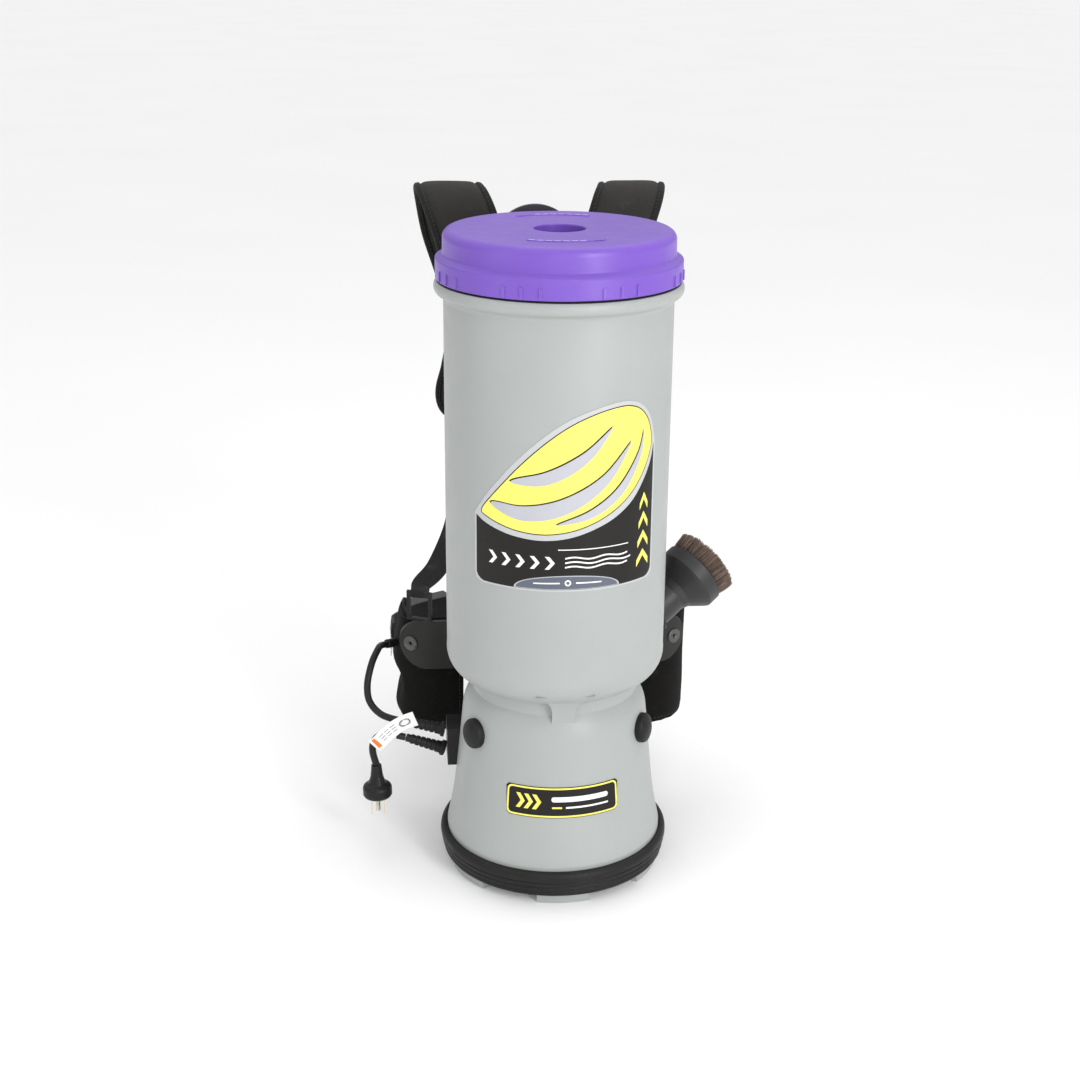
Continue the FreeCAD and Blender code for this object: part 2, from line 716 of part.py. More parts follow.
def motor_frame():
    """Cup with a bearing seat in its bottom and four windows round the commutator."""
    outer = dims.frame_r
    body = turned("motor_frame", [
        (BEARING_SEAT, 56.5), (16.0, 56.5), (16.0, 62.0), (outer, 62.0), (outer, 147.4),
        (outer - 4.8, 147.4), (outer - 4.8, 66.0), (BEARING_SEAT, 66.0)])
    window = pocket_on(body, "XY_Plane", [[
        (38.0, -9.0), (60.0, -9.0), (60.0, 9.0), (38.0, 9.0)]], 16.0, 74.0)
    around(body, window, 4)
    return body


def armature():
    """Slotted core with a winding head at each end."""
    body = turned("armature", [
        (SHAFT_BORE, 79.0), (20.0, 79.0), (24.0, 82.0), (24.0, 88.5),
        (dims.armature_r, 88.5), (dims.armature_r, 127.5), (24.0, 127.5), (24.0, 134.0),
        (20.0, 137.0), (SHAFT_BORE, 137.0)])
    slot = pocket_on(body, "XY_Plane", [[
        (24.6, -1.1), (32.0, -1.1), (32.0, 1.1), (24.6, 1.1)]], 39.4, 108.0)
    around(body, slot, 12)
    return body


def brush_box(name, side, gap, size):
    """Box centred on X that starts a gap behind (side 1) or before (side 0) the axis."""
    width, length, height, low = size
    near_y = gap if side else -gap - length
    return box("%s_%d" % (name, side), (width, length, height), (-width / 2, near_y, low))


def brush_holder(side):
    # width, length, height, bottom
    outer = brush_box("holder_out", side, 16.0, (9.0, 36.0, 12.0, 67.0))
    inner = brush_box("holder_in", side, 10.0, (6.2, 39.0, 9.2, 68.4))
    return cut("holder_%d" % side, outer, inner)


tip_r = dims.shaft_r - 0.5
node("rotor_shaft", turned("rotor_shaft", [
    (0, 55.0), (tip_r, 55.0), (dims.shaft_r, 55.5), (dims.shaft_r, 202.5),
    (tip_r, 203.0), (0, 203.0)]))
node("motor_end_plate", motor_end_plate())
node("motor_bearings", group("bearing_group", [
    ring("bearing_upper", dims.bearing_r, SHAFT_BORE, 144.6, 151.6),
    ring("bearing_lower", dims.bearing_r, SHAFT_BORE, 58.0, 65.0)]))
node("motor_frame", motor_frame())
node("stator", ring("stator", dims.frame_r - 4.9, 29.2, 88.0, 128.0))
node("stator_windings", group("stator_windings", [
    turned("winding_low", [(31.0, 82.0), (33.0, 80.0), (40.0, 80.0), (42.0, 82.0),
                           (42.0, 87.9), (31.0, 87.9)]),
    turned("winding_up", [(31.0, 128.1), (42.0, 128.1), (42.0, 136.0), (40.0, 138.0),
                          (33.0, 138.0), (31.0, 136.0)])]))
node("armature", armature())
node("commutator", ring("commutator", 13.0, SHAFT_BORE, 67.0, 78.9))
node("carbon_brushes", group("carbon_brush_group", [
    brush_box("carbon", side, 13.15, (6.0, 20.0, 9.0, 68.5)) for side in (1, 0)]))
node("brush_holders", group("brush_holder_group", [brush_holder(side) for side in (1, 0)]))
node("motor_mount_ring", turned("motor_mount_ring", [
    (42.0, 34.1), (56.0, 34.1), (56.0, 66.0), (49.2, 66.0), (49.2, 61.9), (42.0, 61.9)]))
node("sound_sleeve", ring("sound_sleeve", 87.0, 77.0, 62.5, 142.0))
node("exhaust_filter", ring("exhaust_filter", 90.0, 59.5, 13.6, 33.0))

# ---------------------------------------------------------------- harness frame
PLATE_BACK_Y = dims.plate_y + dims.plate_t
# screw places on the backplate: x, z
BRACKET_SCREWS = [(-36, 532), (36, 532), (-36, 274), (36, 274),
                  (-36, 548), (36, 548), (-36, 290), (36, 290)]
WING_SCREWS = [(-60, 173), (60, 173), (-60, 201), (60, 201)]


def backplate():
    half, low, top = dims.plate_half_w, dims.plate_low_z, dims.plate_top_z
    body = slab("backplate", "XZ_Plane", [
        (-70.0, low, 14.0, 1), (70.0, low), (half, low + 14.0, 14.0, 1), (half, 250.0),
        (66.0, 300.0), (66.0, 500.0), (98.0, 556.0), (98.0, 588.0),
        (78.0, top - 4.0, 20.0, 1), (30.0, top + 6.0), (-54.0, top + 6.0, 43.0, 1),
        (-78.0, top - 4.0), (-98.0, 588.0, 20.0, 1), (-98.0, 556.0), (-66.0, 500.0),
        (-66.0, 300.0), (-half, 250.0), (-half, low + 14.0)],
        dims.plate_t, -PLATE_BACK_Y)
    pocket_on(body, "XZ_Plane", [
        [(-26.0, z), (26.0, z), (26.0, z + 60.0), (-26.0, z + 60.0)] for z in (340.0, 420.0)],
        40.0, -dims.plate_y)
    return body


def tank_brackets():
    """Two blocks between tank and backplate, hollowed to fit the tank."""
    clearance = cylinder("tank_clearance", dims.tank_r + 0.1, 700.0)
    brackets = []
    for name, low in (("upper", 520.0), ("lower", 262.0)):
        block = box("bracket_block_" + name, (96.0, 22.0, 40.0),
                    (-48.0, dims.plate_y - 0.1 - 22.0, low))
        brackets.append(cut("bracket_" + name, block, clearance))
    return group("tank_bracket_group", brackets)


def harness_screws():
    """Screw heads on the back of the plate."""
    return group("harness_screw_group", [
        cylinder("%s_screw_%d" % (name, k), 5.0, 2.6, (x, PLATE_BACK_Y + 0.1, z), (0, 1, 0))
        for name, spots in (("harness", BRACKET_SCREWS), ("wing", WING_SCREWS))
        for k, (x, z) in enumerate(spots)])


node("backplate", backplate())
node("tank_brackets", tank_brackets())
node("harness_screws", harness_screws())

# ---------------------------------------------------------------- hip wings
# each wing is flat behind the tank, then bent back around the wearer
WING_R = 48.0  # middle radius of the bend
WING_BEND = 42.0  # degrees
WING_BEND_X = 116.0  # where the bend starts
WING_TAIL = 7.0  # straight part after the bend
wing_mid_z = number(dims.wing_mid_z)


def outward(angle):
    """Normal of a strip on the right side, turned by an angle in radians from the front."""
    return Vector(math.sin(angle), -math.cos(angle), 0)


def bent_strip(y_mid, thick, x_start, sign):
    """Outline in the XY plane of a strip that runs out along X and bends to +Y."""
    outer, inner = WING_R + thick / 2, WING_R - thick / 2
    angle = math.radians(WING_BEND)
    cosine, sine = math.cos(angle), math.sin(angle)
    centre_y = y_mid + WING_R

    def after_bend(radius, tail):
        return (sign * (WING_BEND_X + radius * sine + tail * cosine),
                centre_y - radius * cosine + tail * sine)

    return [
        (sign * x_start, y_mid - thick / 2),
        (sign * WING_BEND_X, y_mid - thick / 2),
        (*after_bend(outer, 0.0), outer, int(sign)),
        after_bend(outer, WING_TAIL),
        after_bend(inner, WING_TAIL),
        after_bend(inner, 0.0),
        (sign * WING_BEND_X, y_mid + thick / 2, inner, -int(sign)),
        (sign * x_start, y_mid + thick / 2)]


def rivet_spot(sign):
    """Middle of the wing at its rivet, and the outward normal there."""
    rivet_x = number(dims.rivet_x)
    angle = math.asin((rivet_x - WING_BEND_X) / WING_R)
    y = number(dims.wing_y) + WING_R * (1 - math.cos(angle))
    normal = Vector(sign * math.sin(angle), -math.cos(angle), 0)
    return Vector(sign * rivet_x, y, wing_mid_z), normal


def hip_wing(side, sign):
    half = dims.wing_h / 2
    low, high = dims.wing_mid_z - half, dims.wing_mid_z + half
    outline = bent_strip(number(dims.wing_y), number(dims.wing_t), 4.0, sign)
    strip = slab("wing_strip_" + side, "XY_Plane", outline, dims.wing_h, low)
    front_view = slab("wing_front_" + side, "XZ_Plane", [
        (sign * 2.0, low), (sign * 127.0, low),
        (sign * 154.5, dims.wing_mid_z, half, int(sign)),
        (sign * 127.0, high, half, int(sign)), (sign * 2.0, high)], 300.0, midplane=True)
    blank = common("wing_blank_" + side, [strip, front_view])
    spot, normal = rivet_spot(sign)
    hole = cylinder("wing_hole_" + side, 4.1, 40.0, spot - normal * 20.0, normal)
    return cut("hip_wing_cut_" + side, blank, hole)


def wing_rivet(side, sign):
    """Hollow rivet: flange at the front, barrel through wing and pad."""
    spot, normal = rivet_spot(sign)
    return placed(turned("rivet_" + side, [
        (1.6, -12.0), (4.0, -12.0), (4.0, 2.15), (8.2, 2.15), (8.2, 3.0), (6.8, 3.9),
        (3.4, 3.9), (1.6, 2.6)]), spot, pointing(normal))


node("hip_wings", group("hip_wing_group", [hip_wing(*side) for side in SIDES]))
node("wing_rivets", group("wing_rivet_group", [wing_rivet(*side) for side in SIDES]))

# ---------------------------------------------------------------- waist pads and belt
HIP_GAP = 2.4  # between wing and pad, and from the pad to the middle of the webbing
HIP_R = 46.0  # middle radius of the pad round the hip, after the wing's bend
HIP_BEND = 52.0  # degrees
BELT_Z = 150.0
BELT_HALF_T = 1.1
pad_t = number(dims.pad_t)


def waist_pad_line():
    """Middle line of the right pad: points with their outward normals."""
    inset = number(dims.wing_t) / 2 + HIP_GAP + pad_t / 2
    radius = WING_R - inset
    centre = Vector(WING_BEND_X, number(dims.wing_y) + WING_R, 0)
    line = [(Vector(97.0, centre.y - radius, 0), outward(0.0))]
    bend = math.radians(WING_BEND)
    for step in range(7):
        normal = outward(bend * step / 6)
        line.append((centre + normal * radius, normal))
    centre = line[-1][0] - outward(bend) * HIP_R
    for step in range(1, 9):
        normal = outward(bend + math.radians(HIP_BEND) * step / 8)
        line.append((centre + normal * HIP_R, normal))
    end, normal = line[-1]
    ahead = Vector(-normal.y, normal.x, 0)
    return line + [(end + ahead * reach, normal) for reach in (20.0, 40.0, 58.0)]


def waist_pad(side, sign):
    """Pad that follows the wing and goes on around the hip."""
    low, high = number(dims.pad_low_z), number(dims.pad_top_z)
    line = waist_pad_line()

    def edge(offset):
        points = [point + normal * offset for point, normal in line]
        return [Vector(sign * p.x, p.y, low) for p in points]

    loop = edge(pad_t / 2) + edge(-pad_t / 2)[::-1]
    face = Part.Face(Part.makePolygon(loop + [loop[0]]))
    shape = face.extrude(Vector(0, 0, high - low))
    spot, normal = rivet_spot(sign)
    shape = shape.cut(Part.makeCylinder(4.6, 60.0, spot - normal * 50.0, normal))
    # bevel the two far corners in side view
    far_y = line[-1][0].y
    for z, inward in ((low, 1), (high, -1)):
        corner = Vector(-300, far_y + 20, z - inward * 5)
        triangle = Part.Face(Part.makePolygon([
            corner, Vector(-300, far_y + 20, z + inward * 48),
            Vector(-300, far_y - 42, z - inward * 5), corner]))
        shape = shape.cut(triangle.extrude(Vector(600, 0, 0)))
    return free_shape("waist_pad_shape_" + side, shape)


def belt_curve(sign):
    """Middle of the webbing, from the pad's outer face round to the buckle."""
    end, normal = waist_pad_line()[-1]
    start = end + normal * (pad_t / 2 + HIP_GAP)
    ahead = Vector(-normal.y, normal.x, 0)
    points = [start + ahead * reach for reach in (-22, -10, 4)]
    points += [Vector(132, 268, 0), Vector(90, 291, 0), Vector(48, 298, 0)]
    return curve_through([Vector(sign * p.x, p.y, BELT_Z) for p in points])


def curve_steps(curve, count):
    first, last = curve.FirstParameter, curve.LastParameter
    return [first + (last - first) * step / count for step in range(count + 1)]


def waist_webbing(side, sign):
    curve = belt_curve(sign)
    left, right = [], []
    for place in curve_steps(curve, 24):
        point, tangent = curve.value(place), curve.tangent(place)[0]
        across = Vector(-tangent.y, tangent.x, 0).normalize() * BELT_HALF_T
        left.append(point + across)
        right.append(point - across)
    outline = Part.Wire([
        curve_through(left).toShape(), Part.makeLine(left[-1], right[-1]),
        curve_through(right[::-1]).toShape(), Part.makeLine(right[0], left[0])])
    width = number(dims.belt_w)
    web = Part.Face(outline).extrude(Vector(0, 0, width))
    web.translate(Vector(0, 0, -width / 2))
    return free_shape("waist_webbing_shape_" + side, web)


for side, sign in SIDES:
    node("waist_pad_" + side, waist_pad(side, sign))
    node("waist_webbing_" + side, waist_webbing(side, sign))


# ---------------------------------------------------------------- waist buckle


def buckle_socket():
    """Socket on the left webbing."""
    block = box("socket_block", (44.0, 12.0, 56.0), (-47.5, 292.0, 122.0))
    mouth = box("socket_hole", (30.0, 7.0, 40.0), (-30.0, 294.5, 130.0))
    slot = box("socket_slot", (5.0, 5.0, 47.0), (-50.0, 295.6, 126.5))
    return cut("buckle_socket_cut", block, fuse("socket_cuts", [mouth, slot]))


def buckle_tongue():
    """Two-pronged tongue on the right webbing."""
    plate = slab("tongue_plate", "XZ_Plane", [
        (47.5, 122.0), (30.0, 122.0), (30.0, 132.0), (8.0, 136.0), (8.0, 142.0),
        (24.0, 143.0), (24.0, 157.0), (8.0, 158.0), (8.0, 164.0), (30.0, 168.0),
        (30.0, 178.0), (47.5, 178.0)], 6.0, -304.0)
    slot = box("tongue_slot", (5.0, 5.0, 47.0), (45.0, 295.6, 126.5))
    return cut("buckle_tongue_cut", plate, slot)


node("buckle_socket", buckle_socket())
node("buckle_tongue", buckle_tongue())

# ---------------------------------------------------------------- pads on the wearer's side
CUSHION_Y = PLATE_BACK_Y + 3.2
BACK_PAD_T = 20.0


def cushion(name, outline, thick, round_r):
    """Pad behind the plate with its wearer's side rounded off."""
    back_y = CUSHION_Y + thick
    body = new_body(name)
    block = pad_on(body, "XZ_Plane", [outline], thick, -back_y)
    doc.recompute()
    edges = []
    for k, edge in enumerate(block.Shape.Edges, 1):
        bounds = edge.BoundBox
        flat = abs(bounds.YMin - bounds.YMax) < 1e-6
        if flat and abs(bounds.YMin - number(back_y)) < 1e-6:
            edges.append("Edge%d" % k)
    fillet = body.newObject("PartDesign::Fillet", name + "_round")
    fillet.Base = (block, edges)
    fillet.Radius = round_r
    return body


node("back_pad", cushion("back_pad", [
    (-52.0, 262.0), (52.0, 262.0), (62.0, 276.0), (60.0, 500.0), (84.0, 556.0),
    (84.0, 582.0), (66.0, 600.0), (-66.0, 600.0), (-84.0, 582.0), (-84.0, 556.0),
    (-60.0, 500.0), (-62.0, 276.0)], BACK_PAD_T, 7.0))
node("lumbar_pad", cushion("lumbar_pad", [
    (-66.0, 112.0), (66.0, 112.0), (80.0, 126.0), (80.0, 232.0), (66.0, 248.0),
    (-66.0, 248.0), (-80.0, 232.0), (-80.0, 126.0)], 24.0, 8.0))

# ---------------------------------------------------------------- shoulder straps
STRAP_Y = number(CUSHION_Y) + BACK_PAD_T + 9.5
# stations of the right strap: x, y from STRAP_Y, z, share of the full width
STRAP_STATIONS = [
    (68, 0, 500, 0.86), (68, 0, 545, 0.96), (70, 0, 590, 1.0), (80, 6, 628, 1.0),
    (90, 22, 652, 1.0), (95, 46, 658, 1.0), (93, 68, 642, 1.0), (87, 82, 610, 1.0),
    (75, 88, 572, 1.0), (65, 90, 535, 0.98), (62, 88, 498, 0.96), (70, 83, 455, 0.95),
    (77, 77, 428, 0.94), (77, 70, 410, 0.72),
]
# ladder lock under the strap's end
LOCK_X = 77.0
LOCK_Y = STRAP_Y + 65.0
LOCK_Z = 392.0
# flat loop on each wing's top edge: x on the right side, y, turn about Z in degrees
WING_LOOPS = {"left": (132.5, 119.4, -24.0), "right": (116.0, number(dims.wing_y), 0.0)}


def strip_loft(path, width, thick, corner):
    """Loft of rounded rectangles along a path of (x, y, z, width share)."""
    half_t = thick / 2
    corner = min(corner, half_t * 0.95)
    wires = []
    for i, (x, y, z, share) in enumerate(path):
        before, after = path[max(i - 1, 0)], path[min(i + 1, len(path) - 1)]
        tangent = (Vector(*after[:3]) - Vector(*before[:3])).normalize()
        across = Vector(1, 0, 0) - tangent * tangent.x
        across.normalize()
        up = tangent.cross(across).normalize()
        half_w = width * share / 2
        points = []
        for side_w, side_t, start in ((1, 1, 0), (-1, 1, 90), (-1, -1, 180), (1, -1, 270)):
            for step in range(4):
                round_w, round_t = polar(corner, start + 30 * step)
                points.append(Vector(x, y, z)
                              + across * (side_w * (half_w - corner) + round_w)
                              + up * (side_t * (half_t - corner) + round_t))
        wires.append(Part.makePolygon(points + [points[0]]))
    return Part.makeLoft(wires, True, False)


def dense_path(path, steps):
    """Catmull-Rom points between the stations, so that the loft can't wander."""

    def beyond(end, inner):
        return tuple(2 * a - b for a, b in zip(end, inner))

    rows = [beyond(path[0], path[1])] + path + [beyond(path[-1], path[-2])]
    dense = []
    for i in range(1, len(rows) - 2):
        for step in range(steps):
            t = step / steps
            dense.append(tuple(
                0.5 * (2 * b + (c - a) * t + (2 * a - 5 * b + 4 * c - d) * t * t
                       + (3 * b - a - 3 * c + d) * t ** 3)
                for a, b, c, d in zip(*rows[i - 1:i + 3])))
    return dense + [path[-1]]


def shoulder_strap(side, sign):
    path = [(sign * x, STRAP_Y + y, z, share) for x, y, z, share in STRAP_STATIONS]
    shape = strip_loft(dense_path(path, 3), number(dims.strap_w), number(dims.strap_t), 5.0)
    return free_shape("strap_shape_" + side, shape)


def ladder_lock(side, sign):
    """Plate with two slots for the webbing."""
    x = sign * LOCK_X
    block = box("lock_block_" + side, (34.0, 7.0, 30.0), (x - 17, LOCK_Y - 3.5, LOCK_Z - 22))
    slots = [box("lock_slot_%s_%s" % (name, side), (dims.web_w + 2.0, 20.0, 5.0),
                 (x - 13.5, LOCK_Y - 10, LOCK_Z - drop)) for name, drop in (("a", 18), ("b", 8))]
    return cut("ladder_lock_cut_" + side, block, fuse("lock_slots_" + side, slots))


def wing_loop(side, sign):
    """Flat loop that the webbing hangs in, notched under its foot."""
    x, y, turn = WING_LOOPS[side]
    z = number(dims.wing_mid_z + dims.wing_h / 2) - 1.5

    def part(name, size, corner):
        frame = Placement(Vector(sign * x, y, z), Rotation(Z_AXIS, turn))
        return box_in(frame, name + side, size, corner)

    outer = part("loop_out_", (28.0, 3.6, 34.0), (-14.0, -1.8, 0))
    inner = part("loop_in_", (21.0, 20.0, 26.0), (-10.5, -10.0, 4.2))
    notch = part("loop_notch_", (28.0, 20.0, 1.7), (-14.0, -10.0, -0.1))
    return cut("loop_" + side, cut("loop_ring_" + side, outer, inner), notch)


def adjust_webbing(side, sign):
    """Webbing from the ladder lock down to the loop on the wing."""
    loop_x = WING_LOOPS[side][0]

    def toward_loop(share):
        return sign * (LOCK_X + (loop_x - LOCK_X) * share)

    path = [
        (sign * LOCK_X, LOCK_Y - 2, LOCK_Z - 28.0, 1.0),
        (toward_loop(0.10), LOCK_Y - 20, 338, 1.0),
        (toward_loop(0.26), LOCK_Y - 50, 300, 1.0),
        (toward_loop(0.62), 142.0, 266, 0.9),
        (sign * (loop_x - 4.0), 129.0, 249.5, 0.8)]
    shape = strip_loft(path, number(dims.web_w), number(dims.web_t), 0.5)
    return free_shape("adjust_webbing_shape_" + side, shape)


node("shoulder_straps", group("shoulder_strap_group", [shoulder_strap(*side) for side in SIDES]))
node("strap_hardware", group("strap_hardware_group", (
    [ladder_lock(*side) for side in SIDES] + [wing_loop(*side) for side in SIDES])))
node("adjust_webbing", group("adjust_webbing_group", [adjust_webbing(*side) for side in SIDES]))

# ---------------------------------------------------------------- cords
# middle lines of the cords: x, y, z
SWITCH_CORD = [
    (-148.1, 24.0, 139.75), (-160.0, 28.0, 140.5), (-176.0, 38.0, 143.0),
    (-187.0, 50.0, 152.0), (-189.0, 62.0, 166.0), (-184.0, 75.0, 184.0),
    (-177.0, 92.0, 193.0), (-174.5, 110.0, 188.5), (-173.5, 127.0, 182.0),
    (-170.0, 140.0, 177.0), (-161.9, 149.6, 174.5),
]
POWER_CORD = [
    (-151.3, 20.0, 124.4), (-160.0, 20.0, 127.0), (-172.0, 20.0, 129.0),
    (-181.0, 20.0, 124.5), (-185.0, 20.0, 114.0), (-184.0, 20.0, 104.0),
    (-181.8, 20.0, 95.2),
]
PIGTAIL_Y = 20.0
PLUG_START = Vector(-181.6, PIGTAIL_Y, 94.0)
PLUG_AXIS = Vector(0.02, 0, -1)


def cord(name, points):
    curve = curve_through([Vector(*point) for point in points])
    start = curve.tangent(curve.FirstParameter)[0]
    circle = Part.makeCircle(number(dims.cord_r), Vector(*points[0]), start)
    path = Part.Wire([curve.toShape()])
    return free_shape(name, path.makePipeShell([Part.Wire([circle])], True, False))


def strain_relief(name, start, end):
    """Flanged sleeve with six tapering ribs."""
    along = Vector(*end) - Vector(*start)
    outline = [(0, 0), (8.0, 0), (8.0, 3.0), (6.4, 4.0)]
    for k in range(6):
        rib_r, groove_r, low = 6.2 - 0.25 * k, 5.0 - 0.2 * k, 5.4 * k
        outline += [(rib_r, 6.0 + low), (rib_r, 9.2 + low),
                    (groove_r, 9.8 + low), (groove_r, 11.0 + low)]
    outline += [(4.2, along.Length), (0, along.Length)]
    return placed(turned(name, outline), Vector(*start), pointing(along))


def plug_body():
    """Moulded plug hanging on the power cord."""
    return placed(turned("plug_core", [
        (0, 0), (5.2, 0), (6.4, 12.0), (8.0, 17.0), (12.5, 22.0, 6.0, -1),
        (dims.plug_r, 27.0, 5.0, 1), (dims.plug_r, 33.0), (13.8, 35.0), (0, 35.0)]),
        PLUG_START, pointing(PLUG_AXIS))


def plug_pins():
    """Two flat blades and a round ground pin, pointing down."""
    tip = PLUG_START + PLUG_AXIS * 35.5
    pins = [box("blade_%d" % k, (1.5, 6.3, 18.0),
                (tip.x + shift - 0.75, PIGTAIL_Y - 6.15, tip.z - 18.0))
            for k, shift in enumerate((-6.35, 6.35))]
    pins.append(cylinder("ground_pin", dims.ground_pin_r, 20.5,
                         (tip.x, PIGTAIL_Y + 6.5, tip.z - 20.5)))
    return group("plug_pin_group", pins)


def cord_tag():
    """Paper tag: a sleeve round the power cord and a flag that hangs forward of it."""
    flag = slab("tag_flag", "XZ_Plane", [
        (-150.0, 149.5), (-139.5, 141.0), (-158.0, 130.5), (-174.6, 113.5),
        (-190.0, 124.0), (-171.0, 142.5)], 0.6, -15.7)
    along = Vector(-12.0, 0, 2.0).normalize()
    start = Vector(-165.9, PIGTAIL_Y, 128.25) - along * 4.0
    outer = cylinder("sleeve_out", 4.9, 8.0, start, along)
    inner = cylinder("sleeve_in", 4.2, 12.0, start - along * 2.0, along)
    return cut("tag_cut", fuse("tag_fuse", [flag, outer]), inner)


# block on the left of the bell that the two strain reliefs come out of
node("cord_gland_block", cut(
    "gland_cut", box("gland_block", (24.0, 36.0, 40.0), (-108.5, 4.0, 99.0)), bell_envelope))
node("strain_reliefs", group("strain_relief_group", [
    strain_relief("strain_relief_upper", (-110.8, 22.0, 131.0), (-147.0, 24.0, 139.5)),
    strain_relief("strain_relief_lower", (-111.4, 22.0, 109.5), (-150.0, 20.0, 124.0))]))
node("switch_cord", cord("switch_cord", SWITCH_CORD))
node("power_cord", cord("power_cord", POWER_CORD))
node("plug_body", plug_body())
node("plug_pins", plug_pins())
node("cord_tag", cord_tag())

# ---------------------------------------------------------------- switch box on the left belt
# built square to the axes, its rocker facing -X, then turned onto the outside of the webbing
SWITCH_X = -174.5
SWITCH_MID = 176.0  # middle of the box, both along Y and in height


def belt_seat():
    """Placement that carries the square-built box onto the left webbing."""
    curve = belt_curve(-1.0)
    steps = curve_steps(curve, 400)
    middle = min(steps, key=lambda place: abs(curve.value(place).x + 112.0))
    point, along = curve.value(middle), curve.tangent(middle)[0]
    out = Vector(-along.y, along.x, 0)
    # clear the furthest point of the webbing behind the box
    reaches = [curve.value(place) - point for place in steps]
    bulge = max(reach.dot(out) for reach in reaches if abs(reach.dot(along)) < 27.0)
    seat = point + out * (bulge + 1.5)
    turn = Rotation(Z_AXIS, math.degrees(math.atan2(-along.x, along.y)))
    back = Vector(SWITCH_X + 10.0, SWITCH_MID, SWITCH_MID)
    return Placement(seat - turn.multVec(back), turn)


def switch_box():
    case = box("switch_case", (22.0, 52.0, 40.0), (SWITCH_X - 12.0, 150.0, 156.0))
    hole = box("switch_hole", (16.0, 24.6, 14.6), (SWITCH_X - 14.0, 163.7, 168.7))
    return cut("switch_case_cut", case, hole)


def switch_rocker():
    low = SWITCH_MID - 7.0
    profile = slab("rocker_side", "XY_Plane", [
        (SWITCH_X - 2.5, 163.0), (SWITCH_X - 12.2, 163.0), (SWITCH_X - 14.2, 176.0),
        (SWITCH_X - 17.4, 189.0), (SWITCH_X - 2.5, 189.0)], 14.0, low)
    rounding = cylinder("rocker_round", 12.0, 14.0, (SWITCH_X - 6.5, SWITCH_MID, low))
    return common("rocker_cut", [profile, rounding])


on_belt = belt_seat()
for name, part in (("switch_box", switch_box()), ("switch_rocker", switch_rocker())):
    part.Placement = on_belt
    node(name, part)

# ---------------------------------------------------------------- dusting brush on the right
BRUSH_AXIS = Vector(0.75, 0.40, 0.527).normalize()
BRUSH_START = Vector(158.3, 100.0, 267.0) - BRUSH_AXIS * 60.0
wing_front_y = dims.wing_y - dims.wing_t / 2


def along_brush(name, outline):
    """Turned part whose axis is the brush's axis."""
    return placed(turned(name, outline), BRUSH_START, pointing(BRUSH_AXIS))


def tool_holder():
    """Peg for the brush, on an arm from a plate at the front of the right wing."""
    peg_r = dims.peg_r - 0.05
    peg = along_brush("holder_peg", [
        (0, -22.0), (12.0, -22.0), (12.0, -8.0), (22.0, -8.0), (22.0, -5.0), (peg_r, -5.0),
        (peg_r, 20.0), (dims.peg_r - 2.0, 24.0), (0, 24.0)])
    plate = box("holder_plate", (26.0, 6.0, 42.0), (86.0, wing_front_y - 6.1, 178.0))
    arm_start = Vector(99.0, number(wing_front_y) - 4.0, 212.0)
    reach = BRUSH_START - BRUSH_AXIS * 16.0 - arm_start
    arm = free_shape("holder_arm", Part.makeCylinder(6.0, reach.Length, arm_start, reach))
    return fuse("tool_holder_fuse", [peg, plate, arm])


node("tool_holder", tool_holder())
node("brush_body", along_brush("dust_brush_core", [
    (dims.peg_r, -4.8), (dims.neck_tool_r, -4.8), (dims.neck_tool_r, 22.0), (22.0, 30.0),
    (34.0, 44.0), (36.0, 47.0), (36.0, 60.0), (34.0, 61.5), (24.0, 61.5), (24.0, 56.0),
    (dims.peg_r, 34.0)]))
node("brush_bristles", along_brush("brush_hair", [
    (25.0, 61.6), (33.5, 61.6), (37.5, 80.0), (25.5, 80.0)]))

# ---------------------------------------------------------------- check and write
doc.recompute()
faults = ["%s %s" % (obj.Name, obj.State) for obj in doc.Objects
          if "Invalid" in obj.State or "Error" in obj.State]
for name, obj in nodes:
    shape = obj.Shape
    if shape.isNull() or not shape.isValid() or not shape.Solids:
        faults.append("shape of %s is not a valid solid" % name)
    elif min(solid.Volume for solid in shape.Solids) <= 0:
        faults.append("shape of %s has no volume" % name)
if faults:
    raise RuntimeError("; ".join(faults))
os.makedirs("parts", exist_ok=True)
for name, obj in nodes:
    solids = obj.Shape.Solids
    (obj.Shape if len(solids) > 1 else solids[0]).exportStep("parts/%s.step" % name)
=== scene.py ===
import math
import random

import bmesh
import bpy
import numpy as np
from mathutils import Matrix, Vector, noise
from mathutils.bvhtree import BVHTree
from mathutils.geometry import tessellate_polygon


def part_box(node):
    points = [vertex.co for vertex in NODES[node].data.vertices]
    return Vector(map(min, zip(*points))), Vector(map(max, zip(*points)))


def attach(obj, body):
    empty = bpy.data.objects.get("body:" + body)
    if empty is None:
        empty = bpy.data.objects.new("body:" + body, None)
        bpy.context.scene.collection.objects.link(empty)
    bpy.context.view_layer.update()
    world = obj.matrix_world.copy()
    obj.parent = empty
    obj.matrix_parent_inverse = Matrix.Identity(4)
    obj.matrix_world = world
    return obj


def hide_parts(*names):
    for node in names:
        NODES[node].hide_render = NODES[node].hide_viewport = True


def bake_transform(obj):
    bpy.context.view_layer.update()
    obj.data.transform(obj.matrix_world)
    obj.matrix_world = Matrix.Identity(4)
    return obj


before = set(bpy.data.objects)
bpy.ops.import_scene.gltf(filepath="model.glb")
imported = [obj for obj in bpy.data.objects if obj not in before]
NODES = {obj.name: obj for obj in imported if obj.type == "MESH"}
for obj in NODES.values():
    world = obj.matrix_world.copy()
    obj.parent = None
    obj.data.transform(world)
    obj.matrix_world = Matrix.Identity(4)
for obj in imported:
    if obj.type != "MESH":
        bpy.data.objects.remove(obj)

SC = bpy.context.scene
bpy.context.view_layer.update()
MM = 0.001

